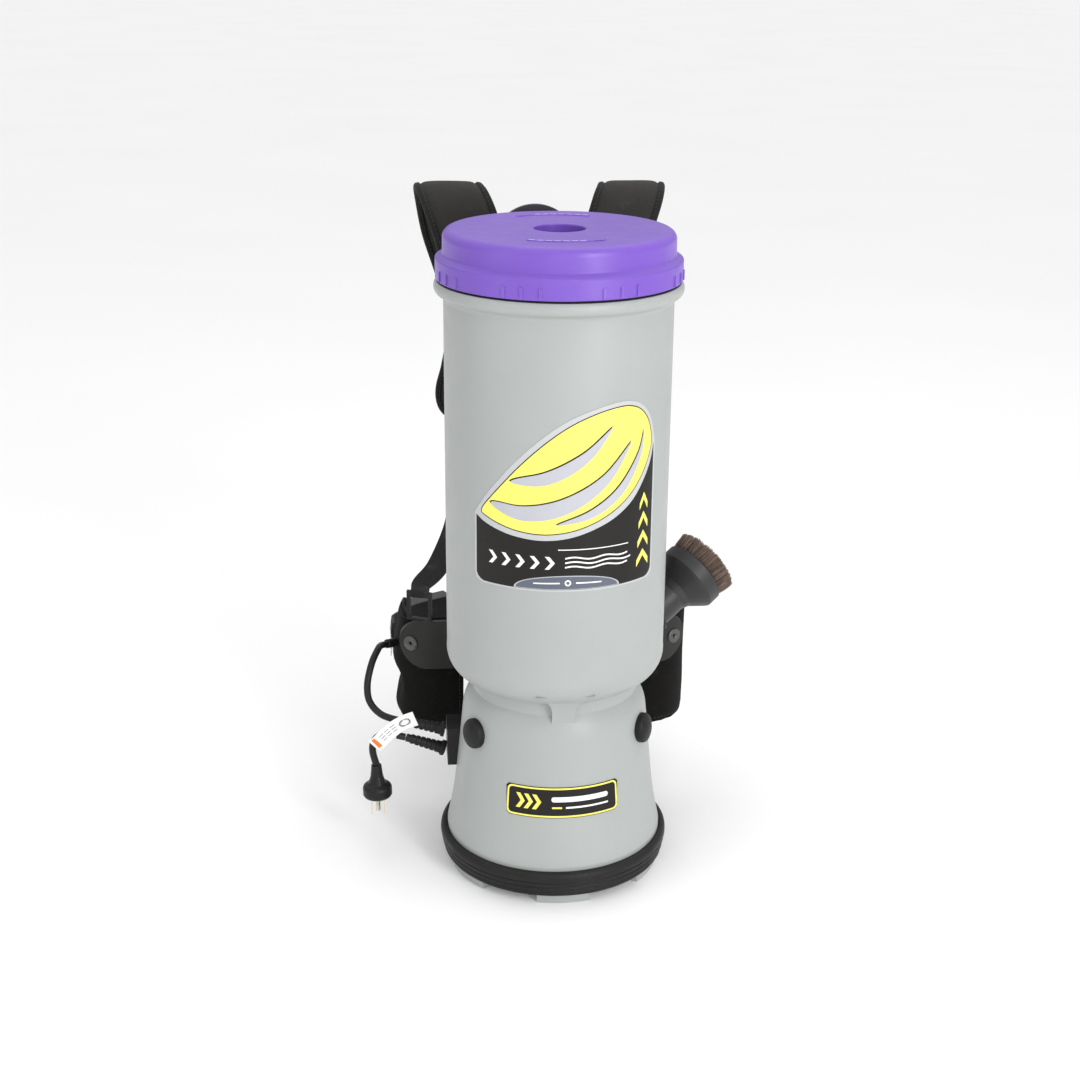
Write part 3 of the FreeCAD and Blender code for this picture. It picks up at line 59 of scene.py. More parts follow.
# ------------------------------------------------------------------ materials


class Mat:
    """Small wrapper round a node material."""

    def __init__(self, name):
        self.m = bpy.data.materials.new(name)
        self.m.use_nodes = True
        self.t = self.m.node_tree
        self.t.nodes.clear()
        self.out = self.n("ShaderNodeOutputMaterial")
        self.b = self.n("ShaderNodeBsdfPrincipled")
        self.t.links.new(self.b.outputs[0], self.out.inputs[0])
        self.co = self.n("ShaderNodeTexCoord")

    def n(self, kind, props=None, ins=None):
        x = self.t.nodes.new(kind)
        for k, v in (props or {}).items():
            setattr(x, k, v)
        for k, v in (ins or {}).items():
            self.put(x.inputs[k], v)
        return x

    def put(self, sock, v):
        if isinstance(v, bpy.types.NodeSocket):
            self.t.links.new(v, sock)
        else:
            sock.default_value = v

    def set(self, **kw):
        for k, v in kw.items():
            self.put(self.b.inputs[k.replace("_", " ")], v)

    def noise(self, scale, detail=3.0, rough=0.5, vec=None, dist=0.0):
        return self.n("ShaderNodeTexNoise", None, {"Vector": vec or self.co.outputs["Object"], "Scale": scale, "Detail": detail,
                                                    "Roughness": rough, "Distortion": dist}).outputs["Fac"]

    def voronoi(self, scale, vec=None, feature="F1"):
        return self.n("ShaderNodeTexVoronoi", {"feature": feature}, {"Vector": vec or self.co.outputs["Object"], "Scale": scale}).outputs["Distance"]

    def math(self, op, a, b=0.0, clamp=False):
        x = self.n("ShaderNodeMath", {"operation": op, "use_clamp": clamp})
        self.put(x.inputs[0], a)
        self.put(x.inputs[1], b)
        return x.outputs[0]

    def span(self, v, a, b, c=0.0, d=1.0):
        x = self.n("ShaderNodeMapRange", {"clamp": True}, {"Value": v, "From Min": a, "From Max": b, "To Min": c, "To Max": d})
        return x.outputs["Result"]

    def mix(self, f, a, b):
        x = self.n("ShaderNodeMix", {"data_type": "RGBA"})
        self.put(x.inputs[0], f)
        self.put(x.inputs[6], a if isinstance(a, bpy.types.NodeSocket) else col(a))
        self.put(x.inputs[7], b if isinstance(b, bpy.types.NodeSocket) else col(b))
        return x.outputs[2]

    def bump(self, height, strength, distance, normal=None):
        ins = {"Height": height, "Strength": strength, "Distance": distance}
        if normal is not None:
            ins["Normal"] = normal
        return self.n("ShaderNodeBump", None, ins).outputs["Normal"]

    def edges(self, radius, lo=0.02, hi=0.3):
        """1 along sharp edges, 0 on open surface."""
        bev = self.n("ShaderNodeBevel", {"samples": 4}, {"Radius": radius})
        geo = self.n("ShaderNodeNewGeometry")
        dot = self.n("ShaderNodeVectorMath", {"operation": "DOT_PRODUCT"})
        self.t.links.new(bev.outputs["Normal"], dot.inputs[0])
        self.t.links.new(geo.outputs["Normal"], dot.inputs[1])
        return self.span(self.math("SUBTRACT", 1.0, dot.outputs["Value"]), lo, hi)

    def split(self, sock):
        x = self.n("ShaderNodeSeparateXYZ")
        self.put(x.inputs[0], sock)
        return x.outputs


def col(c):
    return (c[0], c[1], c[2], 1.0)


def tone(c, k):
    return tuple(min(1.0, v * k) for v in c)


def plastic(name, color, rough=0.45, vary=0.06, grain=(1100.0, 0.10, 0.00025), edge_wear_and_highlight=None, edge_wear_and_highlight_amount=0.5, edge_r=0.0009,
            spec=0.5, coat=0.0, scuffs=0.0, shade_scale=9.0):
    """Moulded plastic: slow colour drift, fine leather grain, uneven gloss and paler edges, which are worn edges and on
    the wing nylon also a painted highlight.
    """
    m = Mat(name)
    drift = m.noise(shade_scale, 4.0, 0.55)
    c = m.mix(m.span(drift, 0.3, 0.7), tone(color, 1 - vary), tone(color, 1 + vary))
    speck = m.noise(420.0, 2.0, 0.6)
    c = m.mix(m.span(speck, 0.60, 0.80, 0.0, 0.16), c, tone(color, 0.72))
    # paler edges: worn edges, and on the wing nylon also a painted highlight along its edges
    if edge_wear_and_highlight:
        e = m.edges(edge_r)
        broken = m.span(m.noise(160.0, 4.0, 0.6), 0.36, 0.62)
        c = m.mix(m.math("MULTIPLY", m.math("MULTIPLY", e, broken), edge_wear_and_highlight_amount), c, edge_wear_and_highlight)
    r = m.span(m.noise(38.0, 4.0, 0.6), 0.25, 0.75, rough - 0.06, rough + 0.07)
    if scuffs > 0:
        scratch = m.span(m.noise(70.0, 6.0, 0.75, dist=2.2), 0.62, 0.74, 0.0, scuffs)
        r = m.math("ADD", r, scratch)
        c = m.mix(m.math("MULTIPLY", scratch, 0.5), c, tone(color, 1.25))
    n = m.bump(m.noise(grain[0], 2.0, 0.5), grain[1], grain[2])
    n = m.bump(m.noise(26.0, 2.0, 0.5), 0.05, 0.002, n)
    m.set(Base_Color=c, Roughness=r, Normal=n, Specular_IOR_Level=spec)
    if coat:
        m.set(Coat_Weight=coat, Coat_Roughness=0.25)
    return m.m


def rubber(name, color, rough=0.62, grain=1500.0):
    m = Mat(name)
    c = m.mix(m.span(m.noise(24.0, 5.0, 0.6), 0.3, 0.7), tone(color, 0.8), tone(color, 1.35))
    dust = m.span(m.noise(240.0, 3.0, 0.7), 0.60, 0.78, 0.0, 0.20)
    c = m.mix(dust, c, (0.085, 0.085, 0.082))
    e = m.edges(0.0008)
    c = m.mix(m.math("MULTIPLY", e, 0.38), c, (0.11, 0.11, 0.11))
    r = m.span(m.noise(50.0, 3.0, 0.6), 0.3, 0.7, rough - 0.08, rough + 0.08)
    n = m.bump(m.noise(grain, 2.0, 0.5), 0.14, 0.0002)
    m.set(Base_Color=c, Roughness=r, Normal=n, Specular_IOR_Level=0.24)
    return m.m


def metal(name, color, rough=0.35, brushed=True, metallic=1.0, tarnish=(0.25, 0.23, 0.2)):
    m = Mat(name)
    vec = m.n("ShaderNodeMapping", None, {"Vector": m.co.outputs["Object"], "Scale": (1.0, 1.0, 14.0)}).outputs[0]
    streak = m.noise(420.0, 3.0, 0.6, vec=vec)
    c = m.mix(m.span(m.noise(60.0, 4.0, 0.6), 0.4, 0.75), color, tone(color, 0.72))
    c = m.mix(m.span(m.noise(160.0, 4.0, 0.7), 0.62, 0.8, 0.0, 0.5), c, tarnish)
    r = m.span(streak, 0.3, 0.7, rough - 0.08, rough + 0.1)
    n = m.bump(streak, 0.12 if brushed else 0.03, 0.0001)
    m.set(Base_Color=c, Metallic=metallic, Roughness=r, Normal=n)
    return m.m


def cloth(name, color, pitch=1.1, strength=0.55, sheen=0.25, rough=0.85, fuzz=(0.10, 0.10, 0.10), twill=False, spec=0.25):
    """Woven cloth; the UV map is in centimetres along the cloth."""
    m = Mat(name)
    u, v, _w = m.split(m.co.outputs["UV"])
    k = math.pi * 10.0 / pitch
    if twill:
        su = m.math("ABSOLUTE", m.math("SINE", m.math("MULTIPLY", m.math("ADD", u, m.math("MULTIPLY", v, 0.5)), k)))
    else:
        su = m.math("ABSOLUTE", m.math("SINE", m.math("MULTIPLY", u, k)))
    sv = m.math("ABSOLUTE", m.math("SINE", m.math("MULTIPLY", v, k)))
    h = m.math("POWER", m.math("MULTIPLY", su, sv), 0.5)
    slub = m.noise(95.0, 4.0, 0.65)
    c = m.mix(m.span(h, 0.1, 0.9), tone(color, 0.45), tone(color, 1.25))
    c = m.mix(m.span(m.noise(16.0, 4.0, 0.6), 0.3, 0.72, 0.0, 0.55), c, tone(color, 1.5))
    c = m.mix(m.span(slub, 0.58, 0.80, 0.0, 0.35), c, fuzz)
    lint = m.span(m.voronoi(230.0), 0.0, 0.09, 0.30, 0.0)
    c = m.mix(lint, c, tone(fuzz, 1.7))
    n = m.bump(h, strength, 0.0004)
    n = m.bump(m.noise(42.0, 4.0, 0.6), 0.22, 0.0012, n)
    m.set(Base_Color=c, Roughness=rough, Normal=n, Specular_IOR_Level=spec, Sheen_Weight=sheen, Sheen_Roughness=0.45,
          Sheen_Tint=(0.6, 0.6, 0.6, 1))
    return m.m


def webbing(name, color):
    """Flat nylon webbing: ribs along the band, herringbone across; UV in centimetres, u along, v across."""
    m = Mat(name)
    u, v, _w = m.split(m.co.outputs["UV"])
    tri = m.math("ABSOLUTE", m.math("SUBTRACT", m.math("FRACT", m.math("MULTIPLY", v, 1.6)), 0.5))
    rib = m.math("ABSOLUTE", m.math("SINE", m.math("MULTIPLY", m.math("ADD", u, m.math("MULTIPLY", tri, 0.42)), math.pi * 10.0 / 1.7)))
    warp = m.math("ABSOLUTE", m.math("SINE", m.math("MULTIPLY", v, math.pi * 10.0 / 1.25)))
    h = m.math("ADD", m.math("MULTIPLY", rib, 0.7), m.math("MULTIPLY", warp, 0.4))
    c = m.mix(m.span(h, 0.2, 1.0), tone(color, 0.4), tone(color, 1.5))
    c = m.mix(m.span(m.noise(60.0, 4.0, 0.6), 0.55, 0.8, 0.0, 0.4), c, (0.11, 0.11, 0.11))
    n = m.bump(h, 0.6, 0.0005)
    m.set(Base_Color=c, Roughness=0.62, Normal=n, Specular_IOR_Level=0.35, Sheen_Weight=0.15, Sheen_Roughness=0.4)
    return m.m


def ink(name, color, rough=0.32, vary=0.04):
    """Printed vinyl film, slightly orange-peeled; also used for the painted highlight on the lid arrows."""
    m = Mat(name)
    c = m.mix(m.span(m.noise(20.0, 4.0, 0.6), 0.3, 0.7), tone(color, 1 - vary), tone(color, 1 + vary))
    c = m.mix(m.span(m.noise(500.0, 2.0, 0.6), 0.63, 0.8, 0.0, 0.12), c, tone(color, 0.7))
    r = m.span(m.noise(80.0, 4.0, 0.6), 0.3, 0.7, rough - 0.05, rough + 0.09)
    n = m.bump(m.noise(700.0, 2.0, 0.5), 0.05, 0.0001)
    m.set(Base_Color=c, Roughness=r, Normal=n, Specular_IOR_Level=0.24)
    return m.m


def paper(name, color, fibre=0.5, rough=0.8):
    m = Mat(name)
    c = m.mix(m.span(m.noise(180.0, 5.0, 0.7), 0.3, 0.7), tone(color, 0.93), tone(color, 1.04))
    c = m.mix(m.span(m.noise(900.0, 3.0, 0.7), 0.62, 0.8, 0.0, 0.3), c, tone(color, 0.75))
    n = m.bump(m.noise(600.0, 4.0, 0.7), fibre, 0.0002)
    n = m.bump(m.noise(45.0, 3.0, 0.6), 0.25, 0.0012, n)
    m.set(Base_Color=c, Roughness=rough, Normal=n, Specular_IOR_Level=0.3)
    return m.m


def hair(name):
    m = Mat(name)
    geo = m.n("ShaderNodeNewGeometry")
    rnd = geo.outputs["Random Per Island"]
    ramp = m.n("ShaderNodeValToRGB", None, {"Fac": rnd})
    e = ramp.color_ramp
    stops = [(0.0, (0.040, 0.024, 0.018)), (0.22, (0.095, 0.055, 0.038)), (0.5, (0.19, 0.115, 0.08)), (0.78, (0.30, 0.20, 0.145)),
             (1.0, (0.47, 0.36, 0.29))]
    e.elements[0].position, e.elements[0].color = stops[0][0], col(stops[0][1])
    e.elements[1].position, e.elements[1].color = stops[-1][0], col(stops[-1][1])
    for p, c in stops[1:-1]:
        e.elements.new(p).color = col(c)
    c = m.mix(m.span(m.noise(110.0, 3.0, 0.6), 0.35, 0.65, 0.0, 0.45), ramp.outputs["Color"], (0.10, 0.06, 0.042))
    n = m.bump(m.noise(2400.0, 2.0, 0.5), 0.2, 0.0001)
    m.set(Base_Color=c, Roughness=0.5, Normal=n, Specular_IOR_Level=0.35, Sheen_Weight=0.1)
    return m.m


GREY = (0.365, 0.384, 0.375)
VIOLET = (0.175, 0.080, 0.485)
M = {
    "shell_grey": plastic("shell_grey_plastic", GREY, 0.42, 0.035, (620.0, 0.16, 0.0005), (0.60, 0.61, 0.60), 0.35, 0.0012, scuffs=0.05),
    "lid_purple": plastic("lid_violet_plastic", VIOLET, 0.37, 0.05, (700.0, 0.10, 0.0004), (0.46, 0.34, 0.84), 0.6, 0.0010, scuffs=0.06),
    "black_rubber": rubber("black_rubber", (0.0110, 0.0110, 0.0105), 0.5),
    "label_print": ink("label_base_film", (0.50, 0.51, 0.52), 0.3),
    "screw_steel": metal("zinc_screws", (0.62, 0.62, 0.63), 0.32),
    "filter_cloth": paper("felted_filter_cloth", (0.85, 0.84, 0.80), 0.9, 0.95),
    "filter_ring_plastic": plastic("filter_ring_plastic", (0.05, 0.05, 0.05), 0.5, 0.08),
    "bag_paper": paper("bag_paper", (0.78, 0.70, 0.58), 0.6),
    "collar_board": paper("collar_board", (0.60, 0.47, 0.33), 0.7),
    "sheet_steel": metal("zinc_sheet", (0.66, 0.66, 0.68), 0.36),
    "cast_alloy": metal("cast_alloy", (0.70, 0.70, 0.72), 0.48, False),
    "shaft_steel": metal("ground_steel", (0.75, 0.75, 0.77), 0.2),
    "core_steel": metal("laminated_core", (0.25, 0.25, 0.26), 0.5),
    "copper_coil": metal("enamelled_copper", (0.72, 0.36, 0.16), 0.35),
    "carbon": rubber("graphite", (0.03, 0.03, 0.03), 0.45),
    "brass_holder": metal("brass", (0.78, 0.62, 0.30), 0.34),
    "foam": rubber("open_cell_foam", (0.05, 0.05, 0.055), 0.95, 600.0),
    "harness_plastic": plastic("harness_nylon", (0.013, 0.013, 0.0125), 0.46, 0.12, (900.0, 0.16, 0.0003), (0.13, 0.13, 0.125), 0.6, 0.0008, 0.28, scuffs=0.08),
    "pad_fabric": cloth("pad_cloth", (0.0072, 0.0069, 0.0064), 1.15, 0.5, 0.035, 0.9, (0.034, 0.033, 0.032), False, 0.10),
    "webbing": webbing("black_webbing", (0.0125, 0.0120, 0.0115)),
    "rivet_metal": metal("dull_rivet_metal", (0.115, 0.115, 0.11), 0.5, False, 0.55, (0.06, 0.058, 0.055)),
    "cord_jacket": rubber("cord_jacket", (0.012, 0.012, 0.0115), 0.42, 900.0),
    "pin_brass": metal("plated_brass", (0.78, 0.72, 0.58), 0.26),
    "tag_paper": paper("tag_paper", (0.84, 0.84, 0.83), 0.3, 0.6),
    "switch_plastic": plastic("switch_case_plastic", (0.03, 0.03, 0.03), 0.45, 0.1, (900.0, 0.15, 0.0003), (0.14, 0.14, 0.14), 0.5),
    "rocker_red": plastic("rocker_red_plastic", (0.50, 0.02, 0.02), 0.28, 0.05, (900.0, 0.04, 0.0001), (0.75, 0.25, 0.22), 0.4),
    "brush_plastic": plastic("brush_plastic", (0.021, 0.0215, 0.021), 0.44, 0.1, (800.0, 0.12, 0.0003), (0.15, 0.15, 0.15), 0.5, scuffs=0.05),
    "horsehair": hair("horsehair"),
}
# the wing's pale edge tone (0.17) at amount 0.7 is partly worn edges, partly a painted highlight along the wing's edges
WING = plastic("wing_grey_nylon", (0.026, 0.026, 0.0245), 0.52, 0.10, (760.0, 0.28, 0.0004), (0.17, 0.17, 0.165), 0.7, 0.0009, 0.26, scuffs=0.08)
BACK = plastic("backplate_nylon", (0.024, 0.025, 0.024), 0.42, 0.10, (900.0, 0.12, 0.0003), (0.16, 0.16, 0.155), 0.6, 0.0008, scuffs=0.08)
STRAP = cloth("strap_cloth", (0.0235, 0.0222, 0.0200), 1.2, 0.5, 0.10, 0.85, (0.075, 0.072, 0.066))
TAPE = cloth("binding_tape", (0.0120, 0.0115, 0.0105), 0.9, 0.6, 0.08, 0.8, (0.05, 0.049, 0.046), True)
THREAD = cloth("stitch_thread", (0.042, 0.041, 0.038), 0.5, 0.4, 0.15, 0.6, (0.09, 0.09, 0.085))
INK_BLACK = ink("label_black_ink", (0.0115, 0.0105, 0.0095), 0.42)
INK_YELLOW = ink("label_yellow_ink", (0.90, 0.80, 0.155), 0.38)
INK_GREY = ink("label_grey_ink", (0.47, 0.475, 0.52), 0.38)
INK_WHITE = ink("label_white_ink", (0.88, 0.88, 0.87), 0.34)
INK_SLATE = ink("label_slate_ink", (0.115, 0.128, 0.165), 0.34)
# painted highlight: pale lilac for the light caught on the tops of the raised lid arrows
LID_ARROW_PAINTED_HIGHLIGHT = ink("lid_mark_ink", (0.60, 0.52, 0.92), 0.5)
INK_ORANGE = paper("tag_orange_print", (0.80, 0.20, 0.03), 0.3, 0.6)
INK_TAG = paper("tag_grey_print", (0.20, 0.20, 0.21), 0.3, 0.6)

for name_, o_ in NODES.items():
    slot_ = o_.data.materials[0].name.split(".")[0]
    o_.material_slots[0].material = M[slot_]
NODES["hip_wings"].material_slots[0].material = WING
NODES["backplate"].material_slots[0].material = BACK
NODES["rating_plate"].material_slots[0].material = INK_BLACK

# ------------------------------------------------------------------ mesh helpers


def make(name, verts, faces, mat, uvs=None, smooth=True, sharp=None, scale=MM):
    """verts in mm; uvs one pair per vertex."""
    me = bpy.data.meshes.new(name)
    me.from_pydata([tuple(float(c) * scale for c in v) for v in verts], [], [tuple(f) for f in faces])
    me.validate()
    me.update()
    if uvs is not None:
        layer = me.uv_layers.new(name="UVMap")
        idx = np.zeros(len(me.loops), np.int64)
        me.loops.foreach_get("vertex_index", idx)
        layer.data.foreach_set("uv", np.asarray(uvs, np.float32)[idx].ravel())
    for p in me.polygons:
        p.use_smooth = smooth
    if sharp is not None:
        me.set_sharp_from_angle(angle=math.radians(sharp))
    for x in (mat if isinstance(mat, (list, tuple)) else [mat]):
        me.materials.append(x)
    o = bpy.data.objects.new(name, me)
    SC.collection.objects.link(o)
    return o


def place(o, body, slot, *replaced):
    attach(o, body)
    if replaced:
        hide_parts(*replaced)
    return o


def shift(node, lo):
    """How far the CAD node sits from the low corner its piece was laid out for, in mm."""
    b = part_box(node)[0]
    return np.array([b.x / MM - lo[0], b.y / MM - lo[1], b.z / MM - lo[2]])


def catmull(pts, sub=14):
    p = np.asarray(pts, float)
    p = np.vstack([2 * p[0] - p[1], p, 2 * p[-1] - p[-2]])
    out = []
    for i in range(1, len(p) - 2):
        for j in range(sub):
            t = j / sub
            out.append(0.5 * (2 * p[i] + (p[i + 1] - p[i - 1]) * t + (2 * p[i - 1] - 5 * p[i] + 4 * p[i + 1] - p[i + 2]) * t * t
                              + (3 * p[i] - p[i - 1] - 3 * p[i + 1] + p[i + 2]) * t ** 3))
    out.append(p[-2])
    return np.array(out)


def resample(pts, step, dims=3):
    p = np.asarray(pts, float)
    d = np.r_[0, np.cumsum(np.linalg.norm(np.diff(p[:, :dims], axis=0), axis=1))]
    n = max(2, int(round(d[-1] / step)) + 1)
    s = np.linspace(0, d[-1], n)
    return np.stack([np.interp(s, d, p[:, k]) for k in range(p.shape[1])], 1), s


def frames_x(p):
    """Tangent, across (nearest to X) and up of each point of a path."""
    tg = np.gradient(p[:, :3], axis=0)
    tg /= np.linalg.norm(tg, axis=1)[:, None]
    ac = np.array([1.0, 0, 0]) - tg * tg[:, :1]
    ac /= np.linalg.norm(ac, axis=1)[:, None]
    return tg, ac, np.cross(tg, ac)


def loft(name, rings, mat, uvs=None, caps=True, sharp=None, closed_ring=True):
    """rings: list of equal-length lists of points in mm."""
    n, m = len(rings), len(rings[0])
    verts = [q for r in rings for q in r]
    faces = []
    for i in range(n - 1):
        for j in range(m if closed_ring else m - 1):
            k = (j + 1) % m
            faces.append((i * m + j, i * m + k, (i + 1) * m + k, (i + 1) * m + j))
    if caps:
        faces.append(tuple(range(m))[::-1])
        faces.append(tuple((n - 1) * m + j for j in range(m)))
    o = make(name, verts, faces, mat, uvs, True, sharp)
    fix_normals(o)
    return o


def fix_normals(o):
    bm = bmesh.new()
    bm.from_mesh(o.data)
    bmesh.ops.recalc_face_normals(bm, faces=bm.faces)
    bm.to_mesh(o.data)
    bm.free()


def tube(name, pts, radius, mat, seg=14, step=1.6, round_ends=False):
    p, s = resample(catmull(pts), step)
    tg = np.gradient(p, axis=0)
    tg /= np.linalg.norm(tg, axis=1)[:, None]
    a = np.cross(tg[0], [0.31, 0.22, 0.92])
    a /= np.linalg.norm(a)
    rings, uvs = [], []
    for i in range(len(p)):
        a = a - tg[i] * a.dot(tg[i])
        a /= np.linalg.norm(a)
        b = np.cross(tg[i], a)
        k = 1.0
        if round_ends and (i == 0 or i == len(p) - 1):
            k = 0.72
        rings.append([p[i] + (a * math.cos(2 * math.pi * j / seg) + b * math.sin(2 * math.pi * j / seg)) * radius * k for j in range(seg)])
        uvs += [(s[i] / 10, j / seg * 2 * math.pi * radius / 10) for j in range(seg)]
    return loft(name, rings, mat, uvs)


def joined(name, parts, mat):
    """parts: list of (verts, faces) in mm, made into one object."""
    verts, faces = [], []
    for v, f in parts:
        k = len(verts)
        verts += list(v)
        faces += [tuple(i + k for i in x) for x in f]
    return make(name, verts, faces, mat, [(v[0] / 10, v[2] / 10) for v in verts], True)


def stitch(p, t, nrm, length=2.9, r=0.42):
    """One sewn stitch: a short bent lozenge lying on the cloth."""
    t = t / np.linalg.norm(t)
    b = np.cross(nrm, t)
    b /= np.linalg.norm(b)
    rows = [(-0.5, 0.15, -0.35), (-0.30, 0.9, 0.22), (0.0, 1.0, 0.42), (0.30, 0.9, 0.22), (0.5, 0.15, -0.35)]
    v, f = [], []
    for x, w, h in rows:
        c = p + t * x * length + nrm * h * r
        for k in range(5):
            a = 2 * math.pi * k / 5
            v.append(c + (b * math.cos(a) + nrm * math.sin(a) * 0.8) * r * w)
    for i in range(4):
        for k in range(5):
            f.append((i * 5 + k, i * 5 + (k + 1) % 5, (i + 1) * 5 + (k + 1) % 5, (i + 1) * 5 + k))
    f.append((4, 3, 2, 1, 0))
    f.append((20, 21, 22, 23, 24))
    return v, f


def seam_row(points, normals, pitch=4.3, **kw):
    """Stitches along a line of surface points."""
    pn = np.hstack([np.asarray(points), np.asarray(normals)])
    q, s = resample(pn, pitch)
    out = []
    for i in range(len(q) - 1):
        mid = (q[i] + q[i + 1]) / 2
        nrm = mid[3:6] / max(1e-6, np.linalg.norm(mid[3:6]))
        t = q[i + 1, :3] - q[i, :3]
        if np.linalg.norm(t) > 0.5:
            out.append(stitch(mid[:3], t, nrm, **kw))
    return out


def bvh_of(o):
    me = o.data
    mw = o.matrix_world
    return BVHTree.FromPolygons([mw @ v.co for v in me.vertices], [tuple(p.vertices) for p in me.polygons])


def baked(o):
    """Replaces o's mesh by what its modifiers make."""
    dg = bpy.context.evaluated_depsgraph_get()
    me = bpy.data.meshes.new_from_object(o.evaluated_get(dg), preserve_all_data_layers=True, depsgraph=dg)
    o.modifiers.clear()
    o.data = me
    return o


def chaikin(pts, n=2):
    for _ in range(n):
        q = []
        for i in range(len(pts)):
            a, b = pts[i], pts[(i + 1) % len(pts)]
            q.append((a[0] * 0.75 + b[0] * 0.25, a[1] * 0.75 + b[1] * 0.25))
            q.append((a[0] * 0.25 + b[0] * 0.75, a[1] * 0.25 + b[1] * 0.75))
        pts = q
    return pts


def dense(pts, step):
    out = []
    for i in range(len(pts)):
        a, b = np.array(pts[i], float), np.array(pts[(i + 1) % len(pts)], float)
        n = max(1, int(np.linalg.norm(b - a) / step))
        out += [tuple(a + (b - a) * k / n) for k in range(n)]
    return out


def area2(pts):
    return sum(pts[i][0] * pts[(i + 1) % len(pts)][1] - pts[(i + 1) % len(pts)][0] * pts[i][1] for i in range(len(pts))) / 2


def offset_loop(pts, d):
    """Loop moved outwards by d (inwards if negative)."""
    if area2(pts) < 0:
        pts = pts[::-1]
    n, out = len(pts), []
    for i in range(n):
        a, b, c = np.array(pts[i - 1]), np.array(pts[i]), np.array(pts[(i + 1) % n])
        e1, e2 = b - a, c - b
        n1 = np.array([e1[1], -e1[0]]) / max(1e-9, np.linalg.norm(e1))
        n2 = np.array([e2[1], -e2[0]]) / max(1e-9, np.linalg.norm(e2))
        m = n1 + n2
        m = m / max(1e-9, np.linalg.norm(m))
        k = 1 / max(0.5, m.dot(n1))
        out.append(tuple(b + m * d * k))
    return out


def loop_distance(q, loop):
    """Distance of points q (n,2) to a closed loop."""
    p = np.asarray(loop, float)
    a, b = p, np.roll(p, -1, 0)
    best = np.full(len(q), 1e9)
    for s, e in zip(a, b):
        d = e - s
        L = d.dot(d)
        if L < 1e-12:
            continue
        t = np.clip(((q - s) @ d) / L, 0, 1)
        best = np.minimum(best, np.linalg.norm(q - (s + t[:, None] * d), axis=1))
    return best


def line_distance(q, line):
    p = np.asarray(line, float)
    best = np.full(len(q), 1e9)
    for s, e in zip(p[:-1], p[1:]):
        d = e - s
        t = np.clip(((q - s) @ d) / d.dot(d), 0, 1)
        best = np.minimum(best, np.linalg.norm(q - (s + t[:, None] * d), axis=1))
    return best


def smooth01(x, a, b):
    t = np.clip((np.asarray(x, float) - a) / (b - a), 0, 1)
    return t * t * (3 - 2 * t)


# ------------------------------------------------------------------ printed films, laid on the CAD surface


def decal(name, loops, node, ray, lift, body, mat, slot, cut=(2.5, 6.0), low=-0.03):
    """Flat loops (u, v in mm) cut into strips, thrown onto the CAD surface along ray(u, v) and given a thickness."""
    tree = TREES.setdefault(node, None) or TREES.__setitem__(node, bvh_of(NODES[node])) or TREES[node]
    flat = [[Vector((p[0], p[1], 0)) for p in lp] for lp in loops]
    tris = tessellate_polygon(flat)
    pts = [p for lp in flat for p in lp]
    bm = bmesh.new()
    vs = [bm.verts.new(p) for p in pts]
    for t in tris:
        try:
            bm.faces.new([vs[i] for i in t])
        except ValueError:
            pass
    us, ws = [p.x for p in pts], [p.y for p in pts]
    for vals, step, nrm in ((us, cut[0], Vector((1, 0, 0))), (ws, cut[1], Vector((0, 1, 0)))):
        x = math.floor(min(vals) / step) * step + step
        while x < max(vals):
            bmesh.ops.bisect_plane(bm, geom=list(bm.verts) + list(bm.edges) + list(bm.faces), plane_co=nrm * x, plane_no=nrm)
            x += step
    bmesh.ops.remove_doubles(bm, verts=bm.verts, dist=1e-4)
    bmesh.ops.dissolve_degenerate(bm, edges=bm.edges, dist=1e-4)
    bm.verts.ensure_lookup_table()
    bm.verts.index_update()
    top, bot = [], []
    for v in bm.verts:
        o, d = ray(v.co.x, v.co.y)
        hit = tree.ray_cast(Vector(o) * MM, Vector(d))[0]
        if hit is None:
            raise RuntimeError("decal %s misses %s at %.1f %.1f" % (name, node, v.co.x, v.co.y))
        h = np.array(hit) / MM
        d = np.array(d) / np.linalg.norm(d)
        top.append(h - d * lift)
        bot.append(h - d * low)
    n = len(top)
    faces = []
    for f in bm.faces:
        ids = [v.index for v in f.verts]
        faces.append(tuple(ids))
        faces.append(tuple(i + n for i in ids[::-1]))
    for e in bm.edges:
        if len(e.link_faces) == 1:
            a, b = e.verts[0].index, e.verts[1].index
            faces.append((a, b, b + n, a + n))
    bm.free()
    o = make(name, top + bot, faces, mat, None, True, 40)
    fix_normals(o)
    return place(o, body, slot)


TREES = {}


def round_wall(radius):
    """(u, v) to a ray towards the tank axis; u is arc length at this radius from the front."""
    def ray(u, v):
        a = u / radius
        return (260 * math.sin(a), -260 * math.cos(a), v), (-math.sin(a), math.cos(a), 0)
    return ray


R_LAB = 108.5


def dz(points):
    """(degrees from the front, height) to (arc length, height)."""
    return [(R_LAB * math.radians(a), z) for a, z in points]


LABEL_TOP = [(-50.5, 398), (-40, 424), (-22, 462), (-4, 490), (12, 503), (27, 508), (38, 503), (46, 488), (50.5, 462)]
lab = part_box("front_label")
LZ = lab[0].z / MM - 330.5
up_ = lambda pts: [(a, z + LZ) for a, z in pts]
